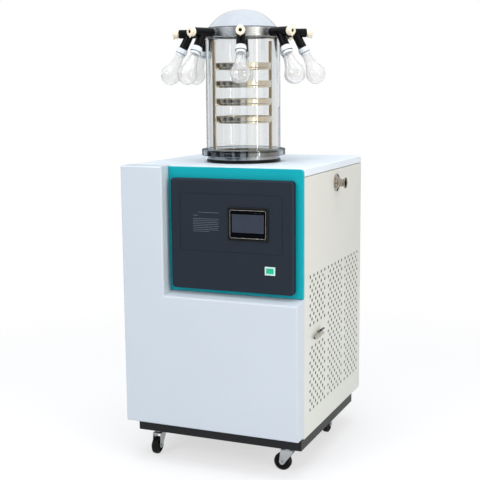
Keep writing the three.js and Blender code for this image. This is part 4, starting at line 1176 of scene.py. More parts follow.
@dataclass
class SideFittings(Assembly):
    """What stands out of the right side: the vacuum port, and the drain with its lever."""

    half_length: float = 17 * MM
    body_radius: float = 9 * MM
    collar_radius: float = 7.5 * MM
    neck_radius: float = 5 * MM
    barbs: int = 3
    barb_from: float = 13
    barb_pitch: float = 8
    barb: tuple[float, float] = (5.2 * MM, 8.3 * MM)
    disc_radius: float = 13 * MM
    tail_radius: float = 6.5 * MM
    seat_radius: float = 5.7 * MM
    bore_radius: float = 3.2 * MM
    socket_radius: float = 3.7 * MM
    lever_rise: float = 11.3 * MM
    lever_reach: float = 40 * MM
    lever_thickness: float = 3 * MM

    def build(self) -> None:
        """Builds the fittings."""
        self.vacuum_port()
        self.drain()
        self.drain_lever()

    def vacuum_port(self) -> None:
        """Builds the stub with its wall flange, nut and small clamped flange."""
        box = Extent.of("vacuum_port")
        wall = Extent.of("right_side_panel").high.x
        start, far = (box.low.x - wall) / MM, (box.high.x - wall) / MM
        bore, tube, plate, rim, recess = 12.5, 14, 32, 20, 15.2
        port = lathed("turned_vacuum_port", in_mm([
            (bore, start), (tube, start), (tube, 0.3), (plate, 0.3), (plate, 3.3, 1.2), (22, 4.1, 0.8),
            (21, 9.3, 0.8), (16, 10.3, 1), (tube, 12.0, 1), (tube, far - 7, 1), (rim, far - 3.2, 0.3),
            (rim, far, 0.5), (recess, far, 0.2), (recess, far - 1.2, 0.2), (bore, far - 1.2, 0.2)]))
        put(port, Matrix.Translation((wall, box.middle.y, box.middle.z)) @ ALONG_X)
        self.keep(port, PORT_STEEL_PAINTED_REFLECTION, "polished_steel", ["vacuum_port"])

    def drain(self) -> None:
        """Builds the drain valve with its hose barbs."""
        pivot = Vector(joint("drain_lever_turn")["pos_m"])
        wall = Extent.of("right_side_panel").high.x
        box = Extent.of("drain_valve")
        across = Vector((pivot.x, 0, pivot.z))

        def along_y(y0: float, y1: float, radius: float, name: str = "part") -> Piece:
            """A round bar on the valve's axis."""
            return rod(name, radius, across + Vector((0, y0, 0)), across + Vector((0, y1, 0)), 40)

        def above(rise: float) -> Vector:
            """A point on the lever's axis."""
            return pivot + Vector((0, 0, rise))

        y, half, (root, crest) = pivot.y, self.half_length, self.barb
        body = bevelled(along_y(y - half, y + half, self.body_radius, "plated_drain_valve"), 1.2 * MM)
        collar = bevelled(along_y(y - 21 * MM, y - 13 * MM, self.collar_radius), 0.8 * MM)
        neck = along_y(box.low.y, y - 4.4 * MM, self.neck_radius)
        barbs = []
        for i in range(self.barbs):
            barb = lathed("barb", [(0, 0), (root, 0), (crest, 7 * MM, 0.3 * MM), (root, 7.6 * MM),
                                   (0, 7.6 * MM)], 40)
            foot = box.low.y + (self.barb_from + self.barb_pitch * i) * MM
            barbs.append(put(barb, Matrix.Translation((pivot.x, foot, pivot.z)) @ ALONG_Y))
        disc = bevelled(rod("disc", self.disc_radius, Vector((wall + GAP, y, pivot.z)),
                            Vector((wall + 3.3 * MM, y, pivot.z)), 48), 0.8 * MM)
        tail = rod("tail", self.tail_radius, Vector((box.low.x, y, pivot.z)),
                   pivot - Vector((2.3 * MM, 0, 0)), 36)
        seat = rod("seat", self.seat_radius, above(1.7 * MM), above(11 * MM), 44)
        valve = combined(body, "UNION", collar, neck, *barbs, disc, tail, seat)
        bore = rod("bore", self.bore_radius, across + Vector((0, box.low.y - MM, 0)),
                   across + Vector((0, y, 0)))
        socket = rod("socket", self.socket_radius, above(5.2 * MM), above(12 * MM))
        self.keep(combined(valve, "DIFFERENCE", bore, socket), NICKEL, "brass", ["drain_valve"])

    def drain_lever(self) -> None:
        """Builds the plastic-dipped lever, which turns on the valve's upright axis."""
        pivot = Vector(joint("drain_lever_turn")["pos_m"])
        box = Extent.of("drain_lever")
        half, reach = box.size.x / 2, self.lever_reach
        outline = [(-half, -4 * MM, 3 * MM), (half, -4 * MM, 3 * MM), (half, reach, 3.6 * MM),
                   (-half, reach, 3.6 * MM)]
        arm = slab("dipped_drain_lever", outline, -self.lever_thickness, 0)
        put(arm, Matrix.Translation((pivot.x, pivot.y, pivot.z + self.lever_rise)) @ ALONG_Y)
        stem = rod("stem", 3.2 * MM, pivot + Vector((0, 0, 5.6 * MM)),
                   Vector((pivot.x, pivot.y, box.high.z)))
        lever = combined(bevelled(arm, 0.8 * MM), "UNION", bevelled(stem, 0.6 * MM))
        self.keep(lever, BLACK_ABS, "black_plastic", ["drain_lever"], "drain_lever")


@dataclass
class Casters(Assembly):
    """Four swivel casters: a pressed zinc fork with its ball race and axle, and a rubber wheel."""

    wheel_radius: float = 31.5 * MM
    half_width: float = 12 * MM
    leg: float = 2.5 * MM
    leg_gap: float = 2 * MM
    trail: float = 22 * MM
    crown_rise: float = 14.7 * MM
    crown_sheet: float = 3 * MM
    reach: float = 19 * MM
    bolt_radius: float = 4 * MM
    nut_radius: float = 6.2 * MM

    def build(self) -> None:
        """Models one fork and one wheel, and puts a copy of each at the four corners."""
        fork, wheel = self.fork(), self.wheel()
        for corner in ("front_left", "front_right", "rear_left", "rear_right"):
            swivel = Vector(joint(f"caster_swivel_{corner}")["pos_m"])
            centre = Vector(joint(f"caster_roll_{corner}")["pos_m"])
            back = Vector((centre.x - swivel.x, centre.y - swivel.y, 0))
            place = turned_frame(Vector((swivel.x, swivel.y, 0)), -back)
            node = f"caster_fork_{corner}"
            self.keep(copied(fork, f"pressed_{node}", place), ZINC, "zinc", [node], node)
            node = f"caster_wheel_{corner}"
            self.keep(copied(wheel, f"moulded_{node}", place), TYRE_RUBBER, "wheel_rubber", [node], node)
        discard(fork, wheel)

    def fork(self) -> Piece:
        """Models the fork about its swivel axis, with the wheel trailing towards -X.

        Returns:
            The fork.
        """
        top = 2 * self.wheel_radius + self.crown_rise
        inner = self.half_width + self.leg_gap
        outer = inner + self.leg
        trail, axle, reach = -self.trail, self.wheel_radius, self.reach
        outline = [(reach, top), (trail - 4 * MM, top), (trail - 9.5 * MM, axle, 9 * MM),
                   (trail - 2 * MM, axle - 12 * MM, 8 * MM), (trail + 8 * MM, axle - 7 * MM, 8 * MM),
                   (reach, top - 9 * MM, 3 * MM)]
        legs = [slab("leg", outline, -outer, -inner), slab("leg", outline, inner, outer)]
        # The crown is tucked into the legs and lies a little under their edges, so no faces meet.
        tuck = inner + 0.6 * MM
        crown = block("crown", (trail - 3.9 * MM, -tuck, top - self.crown_sheet),
                      (18.9 * MM, tuck, top - 0.1 * MM))
        plates = [bevelled(plate, 0.8 * MM, 2) for plate in (crown, *legs)]
        race = lathed("race", [
            (0, top - MM), (15 * MM, top - MM), (reach, top + 1.5 * MM, 2 * MM),
            (reach, top + 5 * MM, 1.5 * MM), (16.5 * MM, top + 6 * MM, 0.5 * MM),
            (reach, top + 7.5 * MM, 1 * MM), (reach, top + 11 * MM, 0.5 * MM), (0, top + 11 * MM)], 48)
        axle_at = Vector((trail, 0, axle))
        head = Vector((0, outer + 3 * MM, 0))
        bolt = rod("bolt", self.bolt_radius, axle_at - head, axle_at + head, 24)
        nuts = [bevelled(rod("nut", self.nut_radius, axle_at + Vector((0, side * outer, 0)),
                             axle_at + Vector((0, side * (outer + 2.8 * MM), 0)), 6), 0.5 * MM, 2)
                for side in (-1, 1)]
        return gathered("caster_fork", [*plates, race, bolt, *nuts])

    def wheel(self) -> Piece:
        """Models the wheel in the same place: hub, dished disc and rounded tread.

        Returns:
            The wheel.
        """
        r, half = self.wheel_radius / MM, self.half_width / MM
        # One side's section from the bore out to the tread, in millimetres; the other mirrors it.
        side = [(4.4, half - 1.5), (8.5, half - 1.5, 0.8), (9.5, half - 5, 1), (19, half - 5, 1.5),
                (21, half - 1, 1), (25, half, 1.5), (r - 0.4, half - 4, 3), (r, half - 8, 6)]
        mirrored = [(radius, -height, *fillet) for radius, height, *fillet in side]
        wheel = lathed("caster_wheel", in_mm([*mirrored, *reversed(side)]), 72)
        return put(wheel, Matrix.Translation((-self.trail, 0, self.wheel_radius))
                   @ Matrix.Rotation(math.pi / 2, 4, "X"))


@dataclass
class RoundAssembly(Assembly):
    """Pieces that are turned about the chamber's axis."""

    @cached_property
    def axis(self) -> Vector:
        """The point of the chamber's axis on the floor."""
        middle = Extent.of("base_collar").middle
        return Vector((middle.x, middle.y, 0))

    def ring(self, name: str, profile: Outline, sides: int = 128) -> Piece:
        """Turns a section about the chamber's axis."""
        return put(lathed(name, profile, sides), Matrix.Translation(self.axis))


@dataclass
class DryingChamber(RoundAssembly):
    """The clear chamber on the deck: its seal, collar and cylinder, the cold trap and the rack."""

    collar_wall: float = 23 * MM
    o_ring_cord: float = 2.4 * MM
    o_ring_inset: float = 29.5 * MM
    tube_wall: float = 6 * MM
    foot_height: float = 8.7 * MM
    trap_inset: float = 26 * MM
    trap_wall: float = 3 * MM
    trap_flange_drop: float = 2.8 * MM
    tray_wall: float = 1.2 * MM
    tray_rim: float = 1.5 * MM
    tray_count: int = 4
    foot_ring_width: float = 22 * MM
    foot_ring_height: float = 4 * MM
    rack_turn: float = math.radians(50)
    rack_reach: float = 116 * MM
    bar: tuple[float, float] = (4 * MM, 20 * MM)
    shelf: tuple[float, float] = (70 * MM, 97 * MM)
    shelf_thickness: float = 6 * MM
    coil_tube: float = 5 * MM
    coil_turns: int = 4

    def build(self) -> None:
        """Builds every piece of the chamber."""
        self.base()
        self.cylinder()
        self.cold_trap()
        self.trays()
        self.rack()

    def base(self) -> None:
        """Builds the rubber seal on the deck, the ground collar on it, and the collar's O-ring."""
        seal, collar = Extent.of("base_seal"), Extent.of("base_collar")
        outer = seal.size.x / 2
        inner = outer - SEAL_WIDTH
        z0, z1 = seal.low.z, seal.high.z
        bulge = 2.5 * MM
        self.keep(self.ring("moulded_base_seal", [
            (inner, z0), (outer - MM, z0, MM), (outer, (z0 + z1) / 2 - bulge, 2 * MM),
            (outer, (z0 + z1) / 2 + bulge, 2 * MM), (outer - MM, z1, MM), (inner, z1)]),
            BLACK_RUBBER, "black_rubber", ["base_seal"])
        outer = collar.size.x / 2
        inner = outer - self.collar_wall
        z0, z1 = collar.low.z, collar.high.z
        self.keep(self.ring("polished_base_collar", [
            (inner, z0, MM), (outer, z0, 1.2 * MM), (outer, z1, 3 * MM), (inner, z1, 1.2 * MM)]),
            COLLAR_STEEL_PAINTED_DARK_REFLECTION, "polished_steel", ["base_collar"])
        cord, radius = self.o_ring_cord, Extent.of("chamber_cylinder").size.x / 2 - self.o_ring_inset
        section = [(radius + cord * math.cos(a), z1 + cord * 0.9 + cord * math.sin(a))
                   for a in (FULL_TURN * i / 16 for i in range(16))]
        self.keep(self.ring("chamber_o_ring", section), BLACK_RUBBER, "black_rubber")

    def cylinder(self) -> None:
        """Builds the clear cylinder with the thick flange at its foot."""
        box, collar = Extent.of("chamber_cylinder"), Extent.of("base_collar")
        foot = box.size.x / 2
        outer = foot - FOOT_FLANGE
        inner = outer - self.tube_wall
        skirt = collar.size.x / 2 + GAP
        seat = collar.high.z + GAP
        foot_top = seat + self.foot_height
        self.keep(self.ring("cast_chamber_cylinder", [
            (inner, seat, 0.6 * MM), (skirt, seat), (skirt, box.low.z, 0.8 * MM),
            (foot, box.low.z, 1.5 * MM), (foot, foot_top, 2.5 * MM), (outer, foot_top, 3 * MM),
            (outer, box.high.z, 0.8 * MM), (inner, box.high.z, 0.8 * MM)], 160),
            ACRYLIC, "clear_acrylic", ["chamber_cylinder"])

    def cold_trap(self) -> None:
        """Builds the steel bucket of the cold trap and the copper coil round it."""
        box, wall = Extent.of("cold_trap"), self.trap_wall
        outer = Extent.of("base_seal").size.x / 2 - self.trap_inset
        inner, floor = outer - wall, box.low.z + wall
        flange_top = Extent.of("top_deck").high.z - self.trap_flange_drop
        flange = box.size.x / 2
        self.keep(self.ring("spun_cold_trap", [
            (0, box.low.z), (outer, box.low.z, 10 * MM), (outer, flange_top - wall),
            (flange, flange_top - wall), (flange, flange_top), (outer, flange_top),
            (outer, box.high.z, MM), (inner, box.high.z, MM), (inner, floor, 9 * MM), (0, floor)]),
            POLISHED_STEEL, "polished_steel", ["cold_trap"])
        coil = Extent.of("evaporator_coil")
        radius = coil.size.x / 2 - self.coil_tube
        pitch = (coil.size.z - 2 * self.coil_tube) / self.coil_turns
        helix = settled(added(
            "drawn_evaporator_coil", bpy.ops.mesh.primitive_circle_add, vertices=16,
            radius=self.coil_tube, rotation=(math.pi / 2, 0, 0), location=(radius, 0, 0)))
        modified(helix, "SCREW", axis="Z", angle=FULL_TURN, screw_offset=-pitch,
                 iterations=self.coil_turns, steps=72, render_steps=72, use_merge_vertices=False)
        with editing(helix, "EDGE"):
            bpy.ops.mesh.select_non_manifold()
            bpy.ops.mesh.edge_face_add()
            bpy.ops.mesh.select_all(action="SELECT")
            bpy.ops.mesh.normals_make_consistent(inside=False)
        put(helix, Matrix.Translation(self.axis + Vector((0, 0, coil.high.z - self.coil_tube))))
        self.keep(helix, COPPER, "copper", ["evaporator_coil"])

    def trays(self) -> None:
        """Builds the four pressed trays, each with a rolled rim."""
        wall, rim = self.tray_wall, self.tray_rim
        for number in range(1, self.tray_count + 1):
            node = f"tray_{number}"
            box = Extent.of(node)
            radius, z0, z1 = box.size.x / 2, box.low.z, box.high.z
            side, under_rim = radius - rim, z1 - 2 * rim
            self.keep(self.ring(f"pressed_{node}", [
                (0, z0), (side, z0, 4 * MM), (side, under_rim, 0.3 * MM), (radius, under_rim, MM),
                (radius, z1, MM), (side - wall, z1, 0.8 * MM), (side - wall, z0 + wall, 3 * MM),
                (0, z0 + wall)]), SATIN_STEEL, "rack_steel", [node])

    def rack(self) -> None:
        """Builds the rack: two upright bars, the foot ring and a ring under each tray."""
        base = Extent.of("base_collar").high.z + GAP
        top = Extent.of("shelf_rack").high.z
        thick, wide = self.bar
        reach = self.rack_reach
        turn = Matrix.Translation(self.axis) @ Matrix.Rotation(self.rack_turn, 4, "Z")
        uprights = []
        for side in (-1, 1):
            x0, x1 = sorted((side * reach, side * (reach - thick)))
            bar = bevelled(block("bar", (x0, -wide / 2, base), (x1, wide / 2, top)), 0.8 * MM, 3)
            uprights.append(put(bar, turn))
        self.keep(gathered("rack_uprights", uprights), BAR_STEEL, "rack_steel")

        def flat_ring(name: str, inner: float, outer: float, low: float, high: float) -> Piece:
            """A flat ring with slightly rounded edges."""
            return lathed(name, [(inner, low, MM), (outer, low, MM), (outer, high, MM), (inner, high, MM)])

        foot = reach + 2 * MM
        rings = [flat_ring("foot", foot - self.foot_ring_width, foot, base, base + self.foot_ring_height)]
        inner, outer = self.shelf
        for number in range(1, self.tray_count + 1):
            shelf_top = Extent.of(f"tray_{number}").low.z - GAP
            low = shelf_top - self.shelf_thickness
            rings.append(flat_ring("shelf", inner, outer, low, shelf_top))
            for side in (-1, 1):
                x0, x1 = sorted((side * (outer - 4 * MM), side * (reach - MM)))
                arm = block("arm", (x0, -wide / 2, low + MM), (x1, wide / 2, shelf_top - MM))
                rings.append(bevelled(arm, 0.6 * MM, 2))
        rack = put(gathered("rack_rings", rings), turn)
        self.keep(rack, SATIN_STEEL, "rack_steel", ["shelf_rack"])


@dataclass
class ManifoldHead(RoundAssembly):
    """The steel head on the chamber: a port ring with a domed top, and eight ports."""

    ports: int = 8
    ring_height: float = 32 * MM
    head_wall: float = 3 * MM
    ledge: float = 10 * MM
    dome_power: float = 2.6
    nipple: tuple[float, float] = (13 * MM, 9 * MM)
    spigot: tuple[float, float] = (7.6 * MM, 16 * MM)
    valve_radius: float = 15.5 * MM
    valve_length: float = 85 * MM
    leg_from: float = 44 * MM
    leg_radius: float = 16 * MM
    leg_length: float = 64 * MM
    leg_tilt: float = math.radians(27)
    knob_radius: float = 16.5 * MM
    knob_length: float = 20 * MM
    knob_gap: float = 1 * MM
    flask_bulb: float = 35 * MM
    flask_length: float = 133 * MM
    flask_neck: float = 14.2 * MM
    flask_wall: float = 1.6 * MM

    @cached_property
    def tube(self) -> float:
        """The clear tube's outer radius."""
        return Extent.of("chamber_cylinder").size.x / 2 - FOOT_FLANGE

    @cached_property
    def outer(self) -> float:
        """The port ring's outer radius."""
        return self.tube + MM

    def build(self) -> None:
        """Builds the head, then a copy of each part of a port at every port."""
        knobs = [joint(f"valve_knob_turn_{i}") for i in range(1, self.ports + 1)]
        middle = self.axis + Vector((0, 0, knobs[0]["pos_m"][2]))
        places = [turned_frame(middle, Vector(knob["axis"])) for knob in knobs]
        self.shell(places)
        valve, knob, glass, cap, band = self.valve(), self.knob(), self.flask(), self.cap(), self.cap_band()
        bush = self.knob_bush()
        for number, place in enumerate(places, 1):
            turning = f"valve_knob_{number}"
            for model, name, finish, slot, nodes, body in (
                    (valve, "moulded_valve_body", BLACK_RUBBER, "black_rubber",
                     [f"valve_body_{number}"], MACHINE),
                    (knob, "moulded_valve_knob", IVORY, "ivory_plastic", [turning], turning),
                    (bush, "knob_bush", BLACK_ABS, "black_plastic", [], turning),
                    (glass, "blown_flask", FLASK_GLASS, "clear_glass", [f"flask_{number}"], MACHINE),
                    (cap, "flask_cap", FROSTED, "white_plastic", [], MACHINE),
                    (band, "flask_cap_band", BLACK_RUBBER, "black_rubber", [], MACHINE)):
                self.keep(copied(model, f"{name}_{number}", place), finish, slot, nodes, body)
        discard(valve, knob, bush, glass, cap, band)

    def shell(self, places: Sequence[Matrix]) -> None:
        """Builds the dome, the ring with the eight nipples, and the gasket between them.

        Args:
            places: each port's frame, whose X axis points out of it.
        """
        box = Extent.of("manifold_head")
        low, top = box.low.z, box.high.z
        seam = low + self.ring_height
        foot = self.outer - self.ledge
        wall, steps = self.head_wall, 20
        # A blunt cone that rounds over to its top: height falls off as a power of the radius.
        shape = [math.sin(math.pi / 2 * (steps - i) / steps) for i in range(steps)]
        dome = [(foot * r, seam + (top - seam) * (1 - r ** self.dome_power)) for r in shape]
        inner = [((foot - wall) * r, seam + (top - wall - seam) * (1 - r ** self.dome_power))
                 for r in shape]
        inside, outer = self.tube - 7 * MM, self.outer
        cap = self.ring("spun_head_dome", [*dome, (0, top), (0, top - wall), *reversed(inner)], 160)
        self.keep(cap, DOME_STEEL, "polished_steel", smooth=40)
        head = self.ring("turned_port_ring", [
            (inside, low, MM), (outer, low, 1.5 * MM), (outer, seam, 2 * MM), (foot + GAP, seam),
            (foot + GAP, seam - MM), (foot - wall, seam - MM), (inside, seam - wall)], 160)
        radius, length = self.nipple
        spigot_radius, spigot_length = self.spigot
        end, neck, bore = outer + length, radius - 2 * MM, 5 * MM
        stub = lathed("nipple", [
            (bore, outer - 9 * MM), (neck, outer - 9 * MM), (neck, outer),
            (radius + MM, outer + MM, 0.6 * MM), (radius + MM, outer + 3 * MM, 0.6 * MM),
            (neck, outer + 3.6 * MM), (neck, end - 4.6 * MM),
            (radius, end - 4 * MM, 0.8 * MM), (radius, end, 0.8 * MM),
            (spigot_radius, end), (spigot_radius, end + spigot_length, MM), (bore, end + spigot_length)], 48)
        put(stub, ALONG_X)
        stubs = [copied(stub, "nipple_copy", place) for place in places]
        discard(stub)
        self.keep(gathered("turned_port_ring", [head, *stubs]), RING_STEEL, "polished_steel",
                  ["manifold_head"])
        gasket = self.ring("dome_gasket", [
            (foot - MM, seam - 0.3 * MM), (foot + 2.4 * MM, seam - 0.3 * MM, 0.2 * MM),
            (foot + 2.4 * MM, seam + 2.6 * MM, MM), (foot - MM, seam + 2.6 * MM)], 160)
        self.keep(gasket, BLACK_RUBBER, "black_rubber")

    def down(self) -> Matrix:
        """Places the valve's leg, whose Z axis runs down it from the valve's own axis.

        Returns:
            The leg's frame.
        """
        way = Vector((math.sin(self.leg_tilt), 0, -math.cos(self.leg_tilt)))
        start = Vector((self.outer + self.nipple[1] + self.leg_from, 0, 0))
        return Matrix.Translation(start) @ Vector((0, 0, 1)).rotation_difference(way).to_matrix().to_4x4()

    def valve(self) -> Piece:
        """Models the rubber valve body: a level sleeve with a leg that leans outwards.

        Returns:
            The body, with the port pointing along +X.
        """
        start = self.outer + self.nipple[1] + GAP
        end = self.outer + self.nipple[1] + self.valve_length
        r = self.valve_radius
        sleeve = lathed("sleeve", [
            (0, start), (r - 1.5 * MM, start, MM), (r, start + 3 * MM, 2 * MM), (r, end - 3 * MM, 2 * MM),
            (r - 1.5 * MM, end, MM), (0, end)], 48)
        put(sleeve, ALONG_X)
        leg_radius = self.leg_radius
        leg = lathed("leg", [(0, 0), (leg_radius - MM, 0), (leg_radius, self.leg_length - 8 * MM, 4 * MM),
                             (leg_radius, self.leg_length, MM), (0, self.leg_length)], 48)
        put(leg, self.down())
        body = combined(sleeve, "UNION", leg)
        bore_radius = self.spigot[0] + 0.6 * MM
        bore = rod("bore", bore_radius, Vector((start - MM, 0, 0)), Vector((end + MM, 0, 0)))
        leg_bore = rod("leg_bore", bore_radius, Vector(), Vector((0, 0, self.leg_length + MM)))
        put(leg_bore, self.down())
        combined(body, "DIFFERENCE", bore, leg_bore)
        return bevelled(body, 0.8 * MM, 3, 50)

    def knob(self) -> Piece:
        """Models the knob: a round boss with a hole in its end, a pointer rib and a stem.

        Returns:
            The knob, with the port pointing along +X.
        """
        end = self.outer + self.nipple[1] + self.valve_length
        near = end + self.knob_gap
        far = near + self.knob_length
        r, hole, stem = self.knob_radius, 6 * MM, self.spigot[0]
        boss = lathed("knob", [
            (0, end - 18 * MM), (stem, end - 18 * MM, MM), (stem, near), (r - 2 * MM, near, 1.5 * MM),
            (r, near + 5 * MM, 3 * MM), (r - 0.5 * MM, far - 2 * MM, 3 * MM), (r - 4 * MM, far, 1.5 * MM),
            (hole, far, 1.2 * MM), (hole, far - 12 * MM, MM), (0, far - 12 * MM)], 64)
        put(boss, ALONG_X)
        reach = r + 4 * MM
        ribs = []
        for side in (-1, 1):
            z0, z1 = sorted((side * (hole + 3 * MM), side * reach))
            rib = block("rib", (far - 7 * MM, -2.4 * MM, z0), (far, 2.4 * MM, z1))
            with editing(rib):
                pick_faces(rib, lambda centre, normal: normal.z * side > 0.9)
                bpy.ops.transform.resize(value=(0.6, 0.35, 1))
            ribs.append(bevelled(rib, 0.7 * MM, 3))
        return combined(boss, "UNION", *ribs)

    def knob_bush(self) -> Piece:
        """Models the black bush in the bottom of the knob's hole.

        Returns:
            The bush, with the port pointing along +X.
        """
        far = self.outer + self.nipple[1] + self.valve_length + self.knob_gap + self.knob_length
        profile = [(0, far - 12.2 * MM), (5.9 * MM, far - 12.2 * MM), (5.9 * MM, far - 3 * MM, 0.5 * MM),
                   (0, far - 3.6 * MM)]
        return put(lathed("bush", profile, 40), ALONG_X)

    def flask(self) -> Piece:
        """Models the pear-shaped glass flask, open at its neck.

        Returns:
            The flask, with the port pointing along +X.
        """
        neck = self.flask_neck
        start = self.leg_length + 2 * MM
        bottom = self.leg_length + self.flask_length
        bulb, wall = self.flask_bulb, self.flask_wall
        centre = bottom - bulb
        lip = self.leg_length + 19 * MM
        tangent = math.radians(-33)

        def skin(inset: float) -> list[tuple[float, float]]:
            """Draws one wall of the flask.

            Args:
                inset: how far it lies inside the outer wall.

            Returns:
                Its outline as radius and height, from the neck to the bottom.
            """
            shoulder = (bulb * math.cos(tangent), centre + bulb * math.sin(tangent))
            away = (neck + 1.2 * MM, lip + 6 * MM)
            curve = []
            for i in range(9):
                t = i / 8
                # A cubic from the straight neck to the bulb's tangent.
                p0, p1 = away, (neck + 1.5 * MM, lip + 17 * MM)
                p3 = shoulder
                p2 = (shoulder[0] + math.sin(tangent) * 17 * MM, shoulder[1] - math.cos(tangent) * 17 * MM)
                w = ((1 - t) ** 3, 3 * t * (1 - t) ** 2, 3 * t * t * (1 - t), t ** 3)
                curve.append(tuple(sum(k * p[axis] for k, p in zip(w, (p0, p1, p2, p3))) for axis in (0, 1)))
            steps = 16
            for i in range(1, steps + 1):
                a = tangent + (math.pi / 2 - tangent) * i / steps
                curve.append((bulb * math.cos(a), centre + bulb * math.sin(a)))
            points = [(neck, start), (neck, lip), *curve]
            scale = (bulb - inset) / bulb
            return [(max(0.0, r - inset if z < centre else r * scale),
                     z if z < centre else centre + (z - centre) * scale) for r, z in points]

        outer, inner = skin(0), skin(wall)
        inner[-1], outer[-1] = (0, inner[-1][1]), (0, outer[-1][1])
        glass = lathed("flask", [*outer, *reversed(inner)], 64)
        return put(glass, self.down())

    def cap(self) -> Piece:
        """Models the frosted cap that joins the flask to the valve's leg.

        Returns:
            The cap, with the port pointing along +X.
        """
        start, r = self.leg_length - 6 * MM, self.leg_radius
        bore = r + 0.3 * MM
        profile = [(bore, start, 0.5 * MM), (r + 1.8 * MM, start, MM),
                   (r + 3.6 * MM, start + 5 * MM, 2 * MM), (r + 3.6 * MM, start + 17 * MM, MM),
                   (r + 1.4 * MM, start + 18 * MM, 0.4 * MM), (r + 1.4 * MM, start + 27 * MM, 2.5 * MM),
                   (14.4 * MM, start + 29 * MM, 0.6 * MM), (14.4 * MM, start + 7.5 * MM),
                   (bore, start + 7.5 * MM)]
        return put(lathed("cap", profile, 64), self.down())

    def cap_band(self) -> Piece:
        """Models the dark sealing band under the cap's skirt.

        Returns:
            The band, with the port pointing along +X.
        """
        start, r = self.leg_length + 11.4 * MM, self.leg_radius
        profile = [(r, start), (r + 3 * MM, start, 0.5 * MM), (r + 3 * MM, start + 1.8 * MM, 0.5 * MM),
                   (r, start + 1.8 * MM)]
        return put(lathed("band", profile, 64), self.down())


@dataclass
class Refrigeration(Assembly):
    """What works inside the cabinet: the compressor, and the condenser with its fan."""

    def build(self) -> None:
        """Dresses the refrigeration set."""
        self.keep(refined("compressor", "welded_compressor", 2 * MM, 3), BLACK_ENAMEL, "black_paint",
                  ["compressor"])
        self.keep(refined("condenser", "finned_condenser", 0.6 * MM), FIN_ALUMINIUM, "aluminium",
                  ["condenser"])
        self.keep(refined("fan_rotor", "moulded_fan_rotor", 0.5 * MM), BLACK_ABS, "black_plastic",
                  ["fan_rotor"], "fan_rotor")


